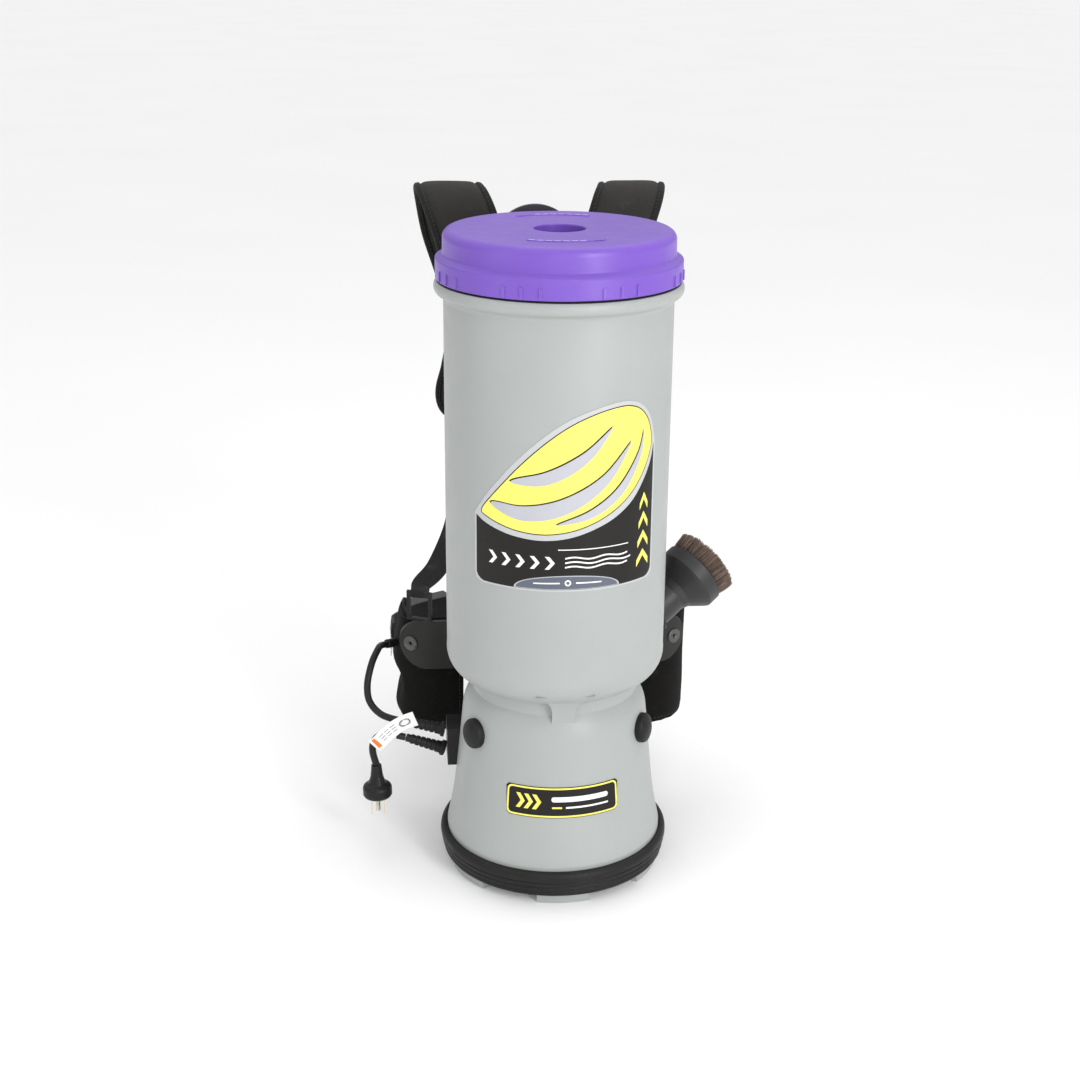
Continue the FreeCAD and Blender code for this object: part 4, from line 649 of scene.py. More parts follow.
# black lower panel with a long sweeping upper edge
sweep = [(49.0, 462), (46.6, 446), (42.0, 430.5), (34.5, 413.0), (24.5, 399.5), (12.5, 389.5), (0.0, 382.5), (-13.0, 380.0), (-26.0, 382.0),
         (-36.0, 386.0), (-44.0, 391.0), (-49.0, 396.0)]
sweep_s = [tuple(q) for q in catmull(sweep, 5)]
panel = [(-49.0, 339.4), (-48.0, 336.0), (-46.4, 333.6), (-44.5, 332.2)] + [(x, 332.2) for x in range(-40, 41, 8)] + \
        [(44.5, 332.2), (46.4, 333.6), (48.0, 336.0), (49.0, 339.4)] + sweep_s
decal("label_black_panel", [dz(up_(panel))], "front_label", round_wall(R_LAB), 0.10, "vacuum", INK_BLACK, "label_print")
field = [(-46.6, 401.0), (-43, 397.5), (-35, 392.2), (-25, 387.8), (-13, 385.8), (-0.5, 388.3), (11.4, 395.0), (23, 405.5), (32.6, 418.5), (39.8, 434),
         (44.4, 449), (47.2, 463.5), (45.6, 478.5), (42.2, 491), (36.0, 500.6), (27, 504.0), (13, 499.4), (-2.5, 486.3), (-20.2, 457.8), (-38.0, 419.8)]
field_s = chaikin(dz(up_(field)), 3)
decal("label_black_rim", [offset_loop(field_s, 1.0)], "front_label", round_wall(R_LAB), 0.10, "vacuum", INK_BLACK, "label_print")
decal("label_yellow_field", [field_s], "front_label", round_wall(R_LAB), 0.17, "vacuum", INK_YELLOW, "label_print")


def streak(ctrl, half, n=40, lead=0.42):
    """Tapered air streak: a ribbon pointed at both ends."""
    c, s = resample(catmull(dz(up_(ctrl)), 10), 2.0, 2)
    t = s / s[-1]
    w = half * np.sin(np.pi * t ** (math.log(0.5) / math.log(lead))) ** 0.8
    g = np.gradient(c, axis=0)
    g /= np.linalg.norm(g, axis=1)[:, None]
    nn = np.stack([-g[:, 1], g[:, 0]], 1)
    w[0] = w[-1] = 0
    up = c + nn * w[:, None]
    dn = c - nn * w[:, None]
    return [tuple(q) for q in up] + [tuple(q) for q in dn[::-1][1:-1]]


for i_, (ctrl_, half_, lead_) in enumerate([
        ([(-40, 411), (-22, 405), (-2, 413), (18, 436), (33, 470)], 7.6, 0.36),
        ([(-29, 434), (-10, 440), (8, 459), (22, 486)], 6.0, 0.40),
        ([(-6, 395), (12, 405.5), (27, 425), (38, 455), (41, 478)], 4.2, 0.45)]):
    loop_ = streak(ctrl_, half_, lead=lead_)
    dark_ = [(x - 1.1, y + 0.9) for x, y in streak(ctrl_, half_ + 0.2, lead=lead_)]
    decal("label_streak_shadow_%d" % (i_ + 1), [dark_], "front_label", round_wall(R_LAB), 0.21, "vacuum", INK_BLACK, "label_print")
    decal("label_grey_streak_%d" % (i_ + 1), [loop_], "front_label", round_wall(R_LAB), 0.25, "vacuum", INK_GREY, "label_print")


def chevron(u, v, w, h, th, up=False):
    """Arrow-head stripe centred on (u, v)."""
    if up:
        return [(u - w, v - h), (u, v + h - th), (u + w, v - h), (u + w, v - h + th), (u, v + h), (u - w, v - h + th)]
    return [(u - h, v - w), (u - h + th, v - w), (u + h, v), (u - h + th, v + w), (u - h, v + w), (u + h - th, v)]


U = lambda a: R_LAB * math.radians(a)
for k_ in range(4):
    decal("label_yellow_chevron_%d" % (k_ + 1), [chevron(U(42.2), 353 + LZ + 18.5 * k_, 8.2 - 0.9 * k_, 8.4, 6.6, True)], "front_label",
          round_wall(R_LAB), 0.19, "vacuum", INK_YELLOW, "label_print")
for k_ in range(5):
    decal("label_white_chevron_%d" % (k_ + 1), [chevron(U(-38.5 + 7.4 * k_), 358.5 + LZ, 6.2, 4.6, 4.0)], "front_label",
          round_wall(R_LAB), 0.19, "vacuum", INK_WHITE, "label_print")
for k_, (a0_, a1_, z_, h_) in enumerate([(-1.5, 31.5, 354.2, 0.75), (-1.5, 33.5, 358.6, 0.75), (-1.5, 31.5, 363.0, 0.75), (-5.0, 32.0, 371.5, 0.45)]):
    n_ = 24
    wave = [(U(a0_ + (a1_ - a0_) * i / n_), z_ + LZ + (1.1 * math.sin(i / n_ * math.pi * 4) if k_ < 3 else 0)) for i in range(n_ + 1)]
    loop_ = [(x, y + h_) for x, y in wave] + [(x, y - h_) for x, y in wave[::-1]]
    decal("label_white_line_%d" % (k_ + 1), [loop_], "front_label", round_wall(R_LAB), 0.19, "vacuum", INK_WHITE, "label_print")
oval = [(U(27 * math.cos(math.pi * i / 30)), 332.6 + LZ + 13.6 * math.sin(math.pi * i / 30)) for i in range(31)]
decal("label_oval_rim", [oval], "front_label", round_wall(R_LAB), 0.19, "vacuum", INK_GREY, "label_print")
oval2 = [(U(26.0 * math.cos(math.pi * i / 30)), 333.1 + LZ + 12.2 * math.sin(math.pi * i / 30)) for i in range(31)]
decal("label_oval", [oval2], "front_label", round_wall(R_LAB), 0.24, "vacuum", INK_SLATE, "label_print")
for k_, s_ in enumerate((-1, 1)):
    bar_ = [(U(s_ * 4.0), 338.2 + LZ), (U(s_ * 17.0), 337.6 + LZ), (U(s_ * 17.0), 338.8 + LZ), (U(s_ * 4.0), 339.6 + LZ)]
    decal("label_oval_bar_%d" % (k_ + 1), [bar_], "front_label", round_wall(R_LAB), 0.28, "vacuum", INK_WHITE, "label_print")
ring_a = [(3.0 * math.cos(2 * math.pi * i / 28), 339 + LZ + 3.0 * math.sin(2 * math.pi * i / 28)) for i in range(28)]
ring_b = [(1.6 * math.cos(2 * math.pi * i / 20), 339 + LZ + 1.6 * math.sin(2 * math.pi * i / 20)) for i in range(20)]
decal("label_oval_ring", [ring_a, ring_b[::-1]], "front_label", round_wall(R_LAB), 0.28, "vacuum", INK_WHITE, "label_print")

# nameplate on the bell: pale yellow border, plain generic marks
R_PL = 99.2
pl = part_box("rating_plate")
PZ = (pl[0].z + pl[1].z) / 2 / MM
PH = (pl[1].z - pl[0].z) / 2 / MM
PW = R_PL * math.asin((pl[1].x / MM) / 99.0)


def round_rect(hw, hh, r, cz=0.0, cu=0.0, n=6):
    out = []
    for cx, cy, a0 in ((hw - r, hh - r, 0), (-hw + r, hh - r, 90), (-hw + r, -hh + r, 180), (hw - r, -hh + r, 270)):
        for i in range(n + 1):
            a = math.radians(a0 + 90 * i / n)
            out.append((cu + cx + r * math.cos(a), cz + cy + r * math.sin(a)))
    return out


wall_ = round_wall(R_PL)
decal("nameplate_border", [round_rect(PW - 0.9, PH - 0.6, 5.2, PZ), round_rect(PW - 2.7, PH - 2.3, 4.0, PZ)[::-1]], "rating_plate", wall_, 0.12,
      "vacuum", INK_YELLOW, "label_print")
for k_ in range(3):
    decal("nameplate_chevron_%d" % (k_ + 1), [chevron(-PW + 15 + 8.2 * k_, PZ + 0.3, 7.6, 4.6, 4.2)], "rating_plate", wall_, 0.12, "vacuum",
          INK_YELLOW, "label_print")
decal("nameplate_bar_1", [round_rect(29.0, 2.6, 2.4, PZ + 3.4, 17.0)], "rating_plate", wall_, 0.12, "vacuum", INK_WHITE, "label_print")
decal("nameplate_bar_2", [round_rect(22.0, 0.9, 0.85, PZ - 5.2, 24.0)], "rating_plate", wall_, 0.12, "vacuum", INK_WHITE, "label_print")
decal("nameplate_bar_3", [round_rect(5.0, 0.9, 0.85, PZ - 5.2, -6.5)], "rating_plate", wall_, 0.12, "vacuum", INK_YELLOW, "label_print")

# pale tops on the two raised turning arrows of the lid: a painted highlight where the raised arrows catch the light
down = lambda u, v: ((u, v, 700.0), (0, 0, -1.0))


def arc_arrow(radius, start, stop, half, head):
    a0, a1 = math.radians(start), math.radians(stop)
    sgn = 1 if stop > start else -1
    ah = a1 - sgn * math.radians(head)
    n = 18
    out = [(radius + half, a0 + (ah - a0) * i / n) for i in range(n + 1)]
    out += [(radius + half * 2.4, ah), (radius, a1), (radius - half * 2.4, ah)]
    out += [(radius - half, ah + (a0 - ah) * i / n) for i in range(n + 1)]
    return [(r * math.cos(a), r * math.sin(a)) for r, a in out]


for k_, (s_, e_) in enumerate(((-118.0, -68.0), (62.0, 112.0))):
    dash = []
    a0_, a1_ = (s_ + 1.2, e_ - 8.0)
    n_ = 7
    for i_ in range(n_):
        b0 = math.radians(a0_ + (a1_ - a0_) * i_ / n_)
        b1 = math.radians(a0_ + (a1_ - a0_) * (i_ + 0.72) / n_)
        loop_ = [(77.0 * math.cos(b0 + (b1 - b0) * j / 4), 77.0 * math.sin(b0 + (b1 - b0) * j / 4)) for j in range(5)]
        loop_ += [(75.0 * math.cos(b1 + (b0 - b1) * j / 4), 75.0 * math.sin(b1 + (b0 - b1) * j / 4)) for j in range(5)]
        decal("lid_mark_%d_%d" % (k_ + 1, i_ + 1), [loop_], "lid", down, 0.10, "lid_body", LID_ARROW_PAINTED_HIGHLIGHT, "lid_purple")

# ------------------------------------------------------------------ padded straps

STRAP_LO = (-130.1, 149.2, 406.9)
WEB_LO = (-136.3, 124.5, 244.2)
ds = shift("shoulder_straps", STRAP_LO)
PROFILE = [(0, 5.9), (7, 5.85), (14, 5.7), (19, 5.45), (22.5, 5.05), (25, 4.4), (26.4, 3.65), (27.2, 3.05), (27.9, 3.0), (28.6, 3.45), (29.6, 4.05),
           (31.0, 4.3), (32.6, 4.1), (33.8, 3.4), (34.6, 2.2), (35.0, 0.9)]
half_ = [(-a, b) for a, b in PROFILE[::-1]] + PROFILE[1:]
SECTION = half_ + [(a, -b) for a, b in half_[::-1]]
stitches = []
for side_, sign_ in (("left", -1.0), ("right", 1.0)):
    yb = 155.7
    path = [(sign_ * 68, yb, 500, .86), (sign_ * 68, yb, 545, .96), (sign_ * 70, yb, 590, 1.0), (sign_ * 80, yb + 6, 628, 1.0),
            (sign_ * 90, yb + 22, 652, 1.0), (sign_ * 95, yb + 46, 658, 1.0), (sign_ * 93, yb + 68, 642, 1.0), (sign_ * 87, yb + 82, 610, 1.0),
            (sign_ * 75, yb + 88, 572, 1.0), (sign_ * 65, yb + 90, 535, .98), (sign_ * 62, yb + 88, 498, .96), (sign_ * 70, yb + 83, 455, .95),
            (sign_ * 77, yb + 77, 428, .94), (sign_ * 77, yb + 70, 410, .72)]
    p, s = resample(catmull(path, 16), 3.2)
    p[:, :3] += ds
    tg, ac, up = frames_x(p)
    rings, uvs = [], []
    n = len(p)
    for i in range(n):
        k = p[i, 3]
        end = min(1.0, (min(s[i], s[-1] - s[i]) + 0.6) / 5.0) ** 0.5
        ring = []
        for a, b in SECTION:
            w = noise.noise(Vector((s[i] / 15.0, a / 26.0, sign_ * 3.1 + (1.7 if b < 0 else 0)))) * 0.45
            w += noise.noise(Vector((s[i] / 6.0, a / 40.0, sign_ * 7.7))) * 0.16
            if abs(a) > 26:
                w = w * 0.4 + noise.noise(Vector((s[i] / 4.0, a, sign_ * 5.0))) * 0.10
            bb = (b - 0.35 * np.sign(b) + np.sign(b) * w) * (0.55 + 0.45 * end)
            ring.append(p[i, :3] + ac[i] * a * k * 0.992 * (0.93 + 0.07 * end) + up[i] * bb)
            uvs.append((s[i] / 10, a / 10))
        rings.append(ring)
    o = loft("shoulder_strap_" + side_, rings, [STRAP, TAPE], uvs)
    for poly in o.data.polygons:
        j = [v % len(SECTION) for v in poly.vertices]
        if len(j) == 4 and min(abs(SECTION[x][0]) for x in j) > 27.5:
            poly.material_index = 1
        elif len(j) > 4:
            poly.material_index = 1
    place(o, "vacuum", "pad_fabric", *(("shoulder_straps",) if side_ == "left" else ()))
    for e_ in (-1, 1):
        for f_ in (-1, 1):
            pts_ = [p[i, :3] + ac[i] * e_ * 29.9 * p[i, 3] + up[i] * f_ * 3.95 for i in range(2, n - 2)]
            nr_ = [up[i] * f_ for i in range(2, n - 2)]
            stitches += seam_row(pts_, nr_, 4.4, length=3.0, r=0.40)
    # folded tab that ties the strap's end to the ladder lock
    tabw = 25.0
    tp = catmull([(sign_ * 76.5, yb + 78.5, 436), (sign_ * 77, yb + 75.2, 424), (sign_ * 77, yb + 71.8, 405), (sign_ * 77, yb + 69.2, 396.2), (sign_ * 77, yb + 65.0, 393.6),
                  (sign_ * 77, yb + 61.0, 396.4), (sign_ * 77, yb + 60.6, 405), (sign_ * 77, yb + 63.5, 425)], 8)
    tp, ts = resample(tp + ds, 2.0)
    t_, a_, u_ = frames_x(tp)
    rr, uu = [], []
    for i in range(len(tp)):
        rr.append([tp[i] + a_[i] * x + u_[i] * y for x, y in ((-tabw / 2, -.75), (-tabw / 4, -.85), (0, -.85), (tabw / 4, -.85), (tabw / 2, -.75), (tabw / 2 + .3, 0), (tabw / 2, .75),
                                                              (tabw / 4, .85), (0, .85), (-tabw / 4, .85), (-tabw / 2, .75), (-tabw / 2 - .3, 0))])
        uu += [(ts[i] / 10, x / 10) for x in (-12.5, -6, 0, 6, 12.5, 12.8, 12.5, 6, 0, -6, -12.5, -12.8)]
    place(loft("strap_end_tab_" + side_, rr, M["webbing"], uu, sharp=50), "vacuum", "webbing")
place(joined("strap_stitching", stitches, THREAD), "vacuum", "pad_fabric")


def band(name, ctrl, width, thick, body, slot="webbing", replaced=(), across=None, mat=None, crown=0.25, sway=0.0, seed=0.0, step=2.0):
    """Flat webbing swept along ctrl; across is a fixed direction or None for the X rule."""
    c = np.asarray(ctrl, float)
    p, s = resample(catmull(c, 12), step)
    tg = np.gradient(p[:, :3], axis=0)
    tg /= np.linalg.norm(tg, axis=1)[:, None]
    if across is None:
        ac = np.array([1.0, 0, 0]) - tg * tg[:, :1]
    else:
        ac = np.array(across, float) - tg * (tg @ np.array(across, float))[:, None]
    ac /= np.linalg.norm(ac, axis=1)[:, None]
    up = np.cross(tg, ac)
    rr, uu = [], []
    cols = 10
    for i in range(len(p)):
        k = p[i, 3] if p.shape[1] > 3 else 1.0
        w = width * k / 2
        ring, uv = [], []
        for sgn in (1, -1):
            xs = np.linspace(-w, w, cols) if sgn > 0 else np.linspace(w, -w, cols)
            for x in xs:
                edge = abs(x) / w
                t = thick / 2 * (1.0 + crown * (edge > 0.86) - 0.12 * (edge > 0.99))
                drift_ = sway * noise.noise(Vector((s[i] / 24.0, seed, x / 30.0)))
                ring.append(p[i, :3] + ac[i] * x + up[i] * (sgn * t + drift_))
                uv.append((s[i] / 10, x / 10))
        rr.append(ring)
        uu += uv
    o = loft(name, rr, mat or M["webbing"], uu, sharp=60)
    return place(o, body, slot, *replaced)


da = shift("adjust_webbing", WEB_LO)
for side_, sign_ in (("left", -1.0), ("right", 1.0)):
    rx0 = 132.5 if side_ == "left" else 116.0
    reach = lambda k: sign_ * (77.0 + (rx0 - 77.0) * k)
    ctrl = [(sign_ * 77, 219.6, 371.5, 1.0), (sign_ * 77, 218.7, 364.0, 1.0), (reach(0.10), 200.7, 338, 1.0), (reach(0.26), 170.7, 300, 1.0),
            (reach(0.62), 142.0, 266, 0.92), (sign_ * (rx0 - 3.2), 128.4, 251.2, 0.80), (sign_ * (rx0 - 1.2), 121.2, 247.6, 0.78),
            (sign_ * (rx0 - 0.2), 116.2, 245.6, 0.76), (sign_ * (rx0 + 0.4), 114.6, 240.2, 0.76)]
    band("adjust_webbing_" + side_, [tuple(np.array(q[:3]) + da) + (q[3],) for q in ctrl], 25.0, 1.8, "vacuum",
         replaced=("adjust_webbing",) if side_ == "left" else (), sway=1.3, seed=sign_ * 2.0)
    # loose tail of the webbing below the ladder lock
    tail = [(sign_ * 77, 215.6, 371.0, 1.0), (sign_ * 76, 213.5, 356.0, 1.0), (sign_ * 73, 213.0, 335.0, 1.0), (sign_ * 70, 216.0, 312.0, 1.0), (sign_ * 69, 214.0, 292.0, 1.0)]
    band("webbing_tail_" + side_, [tuple(np.array(q[:3]) + da) + (q[3],) for q in tail], 25.0, 1.5, "vacuum", sway=1.2, seed=sign_ * 4.0)

# ------------------------------------------------------------------ pads: inflated as cloth, then sewn

cloths = []


def flat_solid(outline, n0, n1, voxel):
    """Closed prism remeshed to even quads; returns (s, z, n) rows and faces."""
    loop = dense(outline, 6.0)
    if area2(loop) < 0:
        loop = loop[::-1]
    tris = tessellate_polygon([[Vector((a, b, 0)) for a, b in loop]])
    k = len(loop)
    verts = [(a, n0, b) for a, b in loop] + [(a, n1, b) for a, b in loop]
    faces = [tuple(t) for t in tris] + [tuple(i + k for i in t[::-1]) for t in tris]
    faces += [(i, (i + 1) % k, (i + 1) % k + k, i + k) for i in range(k)]
    o = make("flat_solid_tmp", verts, faces, None or M["pad_fabric"])
    fix_normals(o)
    r = o.modifiers.new("voxel", "REMESH")
    r.mode = "VOXEL"
    r.voxel_size = voxel * MM
    baked(o)
    co = np.zeros(len(o.data.vertices) * 3, np.float32)
    o.data.vertices.foreach_get("co", co)
    co = co.reshape(-1, 3).astype(float) / MM
    fc = [tuple(p.vertices) for p in o.data.polygons]
    bpy.data.objects.remove(o)
    return co[:, [0, 2, 1]], fc


def pad(name, outline, n0, n1, to_world, voxel, cap, pressure=4.0):
    szn, fc = flat_solid(outline, n0, n1, voxel)
    w = to_world(szn)
    o = make(name, w, fc, M["pad_fabric"])
    fix_normals(o)
    at = o.data.attributes.new("szn", "FLOAT_VECTOR", "POINT")
    at.data.foreach_set("vector", szn.astype(np.float32).ravel())
    o["cap"] = cap
    c = o.modifiers.new("cloth", "CLOTH")
    st = c.settings
    st.quality = 4
    st.mass = 0.25
    st.tension_stiffness = st.compression_stiffness = 12.0
    st.shear_stiffness = 6.0
    st.bending_stiffness = 0.6
    st.use_pressure = True
    st.uniform_pressure_force = pressure
    st.effector_weights.gravity = 0.0
    c.collision_settings.use_self_collision = False
    c.point_cache.frame_start, c.point_cache.frame_end = 1, 20
    cloths.append(o)
    return o


# waist pads: laid out along the bent wing, then round the hip
WX1, WR, WT = 116.0, 48.0, 4.0
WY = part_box("hip_wings")[0].y / MM + WT / 2
GAP, TH = 2.4, 14.0
pr, pym = WR - WT / 2 - GAP - TH / 2, WY + WT / 2 + GAP + TH / 2
a1_ = math.radians(42.0)
p1_ = (WX1 + pr * math.sin(a1_), pym + pr * (1 - math.cos(a1_)))
c2_ = (p1_[0] - 46.0 * math.sin(a1_), p1_[1] + 46.0 * math.cos(a1_))
line = [(97.0, pym)] + [(WX1 - 1 + i * 0.5, pym) for i in range(2)]
line += [(WX1 + pr * math.sin(a1_ * i / 14), pym + pr * (1 - math.cos(a1_ * i / 14))) for i in range(15)]
line += [(c2_[0] + 46 * math.sin(a1_ + math.radians(52) * i / 18), c2_[1] - 46 * math.cos(a1_ + math.radians(52) * i / 18)) for i in range(1, 19)]
ae_ = a1_ + math.radians(52)
line += [(line[-1][0] + math.cos(ae_) * k, line[-1][1] + math.sin(ae_) * k) for k in (58.0,)]
LINE = np.array(line)
LS = np.r_[0, np.cumsum(np.linalg.norm(np.diff(LINE, axis=0), axis=1))]
S_END = LS[-1]
PZ0, PZ1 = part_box("waist_pad_right")[0].z / MM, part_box("waist_pad_right")[1].z / MM


def on_line(s):
    x = np.interp(s, LS, LINE[:, 0])
    y = np.interp(s, LS, LINE[:, 1])
    e = 1.0
    dx = np.interp(s + e, LS, LINE[:, 0]) - np.interp(s - e, LS, LINE[:, 0])
    dy = np.interp(s + e, LS, LINE[:, 1]) - np.interp(s - e, LS, LINE[:, 1])
    L = np.hypot(dx, dy)
    return x, y, dy / L, -dx / L


def dent(z):
    return np.interp(z, [72, 78, 86, 91, 96, 102, 110, 118, 125, 131, 136, 144, 150, 157, 168, 180, 197, 216],
                     [19, 14.5, 7.0, 3.6, 2.2, 3.0, 5.6, 8.6, 10.2, 9.8, 7.6, 2.2, 0.6, 0.0, 1.0, 3.6, 5.6, 7.0])


def hip(sign):
    def f(szn):
        s, z, n = szn[:, 0], szn[:, 1], szn[:, 2]
        x, y, nx, ny = on_line(np.clip(s, 0.01, S_END - 0.01))
        over = np.where(s > S_END, s - S_END, 0) + np.where(s < 0, s, 0)
        X = x + nx * n + over * np.where(s < 0, 1.0, math.cos(ae_))
        Y = y + ny * n + over * np.where(s < 0, 0.0, math.sin(ae_))
        if sign < 0:
            # the left pad is pulled in where the belt cinches it and its lower corner folds under
            X = X - dent(z) * smooth01(Y, 136, 160)
        return np.stack([sign * X, Y, z], 1)
    return f


outline_w = [(-13.0, PZ0 + 10), (-12.2, PZ0 + 4), (-9.0, PZ0 + 1.8), (40, PZ0 + 1.2), (80, PZ0 + 1.2), (S_END - 44, PZ0 + 1.2), (S_END - 38, PZ0 + 2.4), (S_END - 9, PZ0 + 30),
             (S_END - 2.2, PZ0 + 38), (S_END - 2.2, PZ1 - 38), (S_END - 9, PZ1 - 30), (S_END - 38, PZ1 - 2.4), (S_END - 44, PZ1 - 1.2), (80, PZ1 - 1.2), (40, PZ1 - 1.2),
             (-9.0, PZ1 - 1.8), (-12.2, PZ1 - 4), (-13.0, PZ1 - 10)]
outline_w = chaikin(outline_w, 2)
pads_w = {}
for side_, sign_ in (("left", -1.0), ("right", 1.0)):
    pads_w[side_] = pad("waist_pad_cloth_" + side_, outline_w, -4.6, 4.6, hip(sign_), 5.0, 2.3, 3.0)

# back and lumbar pads
bl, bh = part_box("back_pad")
ll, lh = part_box("lumbar_pad")
flat_y = lambda szn: np.stack([szn[:, 0], szn[:, 2], szn[:, 1]], 1)
B0, L0 = bl.z / MM - 262.0, ll.z / MM - 112.0
outline_b = chaikin([(x * 0.955, 431 + B0 + (z - 431) * 0.978) for x, z in [
    (-52, 262), (52, 262), (62, 276), (61, 380), (60, 500), (84, 556), (84, 582), (66, 600), (-66, 600), (-84, 582), (-84, 556), (-60, 500), (-61, 380), (-62, 276)]], 2)
outline_l = chaikin([(x * 0.955, 180 + L0 + (z - 180) * 0.95) for x, z in [
    (-66, 112), (66, 112), (80, 126), (80, 232), (66, 248), (-66, 248), (-80, 232), (-80, 126)]], 2)
YB0, YB1 = bl.y / MM, bh.y / MM
YL0, YL1 = ll.y / MM, lh.y / MM
back = pad("back_pad_cloth", outline_b, YB0 + 1.6, YB1 - 6.0, flat_y, 5.5, 5.6)
lumbar = pad("lumbar_pad_cloth", outline_l, YL0 + 1.6, YL1 - 7.5, flat_y, 5.5, 7.0)

rest_co = {}
for o in cloths:
    co = np.zeros(len(o.data.vertices) * 3, np.float32)
    o.data.vertices.foreach_get("co", co)
    rest_co[o.name] = co.reshape(-1, 3).astype(float)
for f in range(1, 21):
    SC.frame_set(f)
for o in cloths:
    r0 = rest_co[o.name]
    cap = o["cap"] * MM
    dg = bpy.context.evaluated_depsgraph_get()
    ev = o.evaluated_get(dg).to_mesh()
    co = np.zeros(len(ev.vertices) * 3, np.float32)
    ev.vertices.foreach_get("co", co)
    new = co.reshape(-1, 3).astype(float)
    d = new - r0
    L = np.linalg.norm(d, axis=1)
    k = np.where(L > 1e-9, cap * np.tanh(L / cap) / np.maximum(L, 1e-9), 1.0)
    new = r0 + d * k[:, None]
    o.modifiers.clear()
    o.data.vertices.foreach_set("co", new.astype(np.float32).ravel())
    o.data.update()
SC.frame_set(1)


def finish_pad(o, grooves, puckers=(), limit=None):
    """One subdivision, then sewn lines: grooves are (distance function of (s, z), depth, width, side)."""
    m = o.modifiers.new("smooth", "SUBSURF")
    m.levels = m.render_levels = 1
    baked(o)
    me = o.data
    nv = len(me.vertices)
    co = np.zeros(nv * 3, np.float32)
    me.vertices.foreach_get("co", co)
    co = co.reshape(-1, 3).astype(float)
    nr = np.zeros(nv * 3, np.float32)
    me.vertices.foreach_get("normal", nr)
    nr = nr.reshape(-1, 3).astype(float)
    sz = np.zeros(nv * 3, np.float32)
    me.attributes["szn"].data.foreach_get("vector", sz)
    sz = sz.reshape(-1, 3).astype(float)
    for dist, depth, width, side in grooves:
        d = dist(sz[:, :2])
        face = np.ones(nv) if side == 0 else (np.sign(sz[:, 2] - np.mean(sz[:, 2])) == side)
        co -= nr * (depth * MM * np.exp(-(d / width) ** 2) * face)[:, None]
    for dist, amp, width, wave in puckers:
        d = dist(sz[:, :2])
        ph = np.array([noise.noise(Vector((a / wave, b / wave, c / 9.0))) for a, b, c in sz])
        co += nr * (amp * MM * ph * np.exp(-(d / width) ** 2))[:, None]
    if limit:
        co = limit(co)
    me.vertices.foreach_set("co", co.astype(np.float32).ravel())
    me.update()
    layer = me.uv_layers.get("UVMap") or me.uv_layers.new(name="UVMap")
    idx = np.zeros(len(me.loops), np.int64)
    me.loops.foreach_get("vertex_index", idx)
    layer.data.foreach_set("uv", (sz[idx][:, :2] / 10).astype(np.float32).ravel())
    me.attributes.remove(me.attributes["szn"])
    me.shade_smooth()
    return o


def surface_line(o, pts, ray, lift=0.1):
    """Points and normals where ray(s, z) meets o."""
    tree = bvh_of(o)
    P, Nn = [], []
    for a, b in pts:
        og, d = ray(a, b)
        hit, nn, _i, _d = tree.ray_cast(Vector(og) * MM, Vector(d).normalized())
        if hit is None:
            continue
        if nn.dot(Vector(d)) > 0:
            nn = -nn
        P.append(np.array(hit) / MM + np.array(nn) * lift)
        Nn.append(np.array(nn))
    return P, Nn


def on_cloth(rows, o, far=1.1):
    """Only the stitches that lie on the cloth of o."""
    tree = bvh_of(o)
    kept = []
    for v, f in rows:
        mid = np.mean(np.array(v), axis=0)
        hit = tree.find_nearest(Vector(mid) * MM)
        if hit[0] is not None and hit[3] / MM < far:
            kept.append((v, f))
    return kept


def open_loop(loop):
    return list(loop) + [loop[0]]


def piping(name, o, loop, radius, to_world, body, mat=None, n_level=0.0, proud=0.15):
    """Cord sewn into the edge seam, seated where the pad's own edge is."""
    lp = resample(np.array(open_loop(loop)), 3.0, 2)[0]
    lp = [tuple(q) for q in lp]
    outer = offset_loop(lp[:-1], 9.0)
    inner = offset_loop(lp[:-1], -16.0)
    tree = bvh_of(o)
    w = []
    for (a, b), (c, d) in zip(outer, inner):
        p0, p1 = to_world(np.array([(a, b, n_level), (c, d, n_level)]))
        ray = Vector(p1 - p0).normalized()
        hit = tree.ray_cast(Vector(p0) * MM, ray)[0]
        w.append(np.array(hit) / MM + np.array(ray) * radius * (0.75 - proud) if hit is not None else None)
    good = [i for i, q in enumerate(w) if q is not None]
    w = [q if q is not None else w[min(good, key=lambda k: min(abs(k - i), len(w) - abs(k - i)))] for i, q in enumerate(w)]
    w = np.array(w)
    for _ in range(3):
        w = 0.25 * np.roll(w, 1, 0) + 0.5 * w + 0.25 * np.roll(w, -1, 0)
    w = np.vstack([w, w[:1]])
    rings, uvs, seg = [], [], 8
    n = len(w) - 1
    w = w[:n]
    tg = np.roll(w, -1, 0) - np.roll(w, 1, 0)
    tg /= np.linalg.norm(tg, axis=1)[:, None]
    c = w.mean(0)
    verts, faces = [], []
    a = np.cross(tg[0], [0.1, 1.0, 0.05])
    for i in range(n):
        a = a - tg[i] * a.dot(tg[i])
        a /= np.linalg.norm(a)
        b = np.cross(tg[i], a)
        for j in range(seg):
            t = 2 * math.pi * j / seg
            verts.append(w[i] + (a * math.cos(t) + b * math.sin(t)) * radius)
            uvs.append((i * 0.3, j / seg * radius * 0.63))
    # close the ring with the twist that parallel transport leaves spread over the join
    for i in range(n):
        i2 = (i + 1) % n
        off = 0
        if i2 == 0:
            d = [np.linalg.norm(verts[i * seg] - verts[k]) for k in range(seg)]
            off = int(np.argmin(d))
        for j in range(seg):
            faces.append((i * seg + j, i * seg + (j + 1) % seg, i2 * seg + (j + 1 + off) % seg, i2 * seg + (j + off) % seg))
    p = make(name, verts, faces, mat or TAPE, uvs)
    fix_normals(p)
    return place(p, body, "pad_fabric")


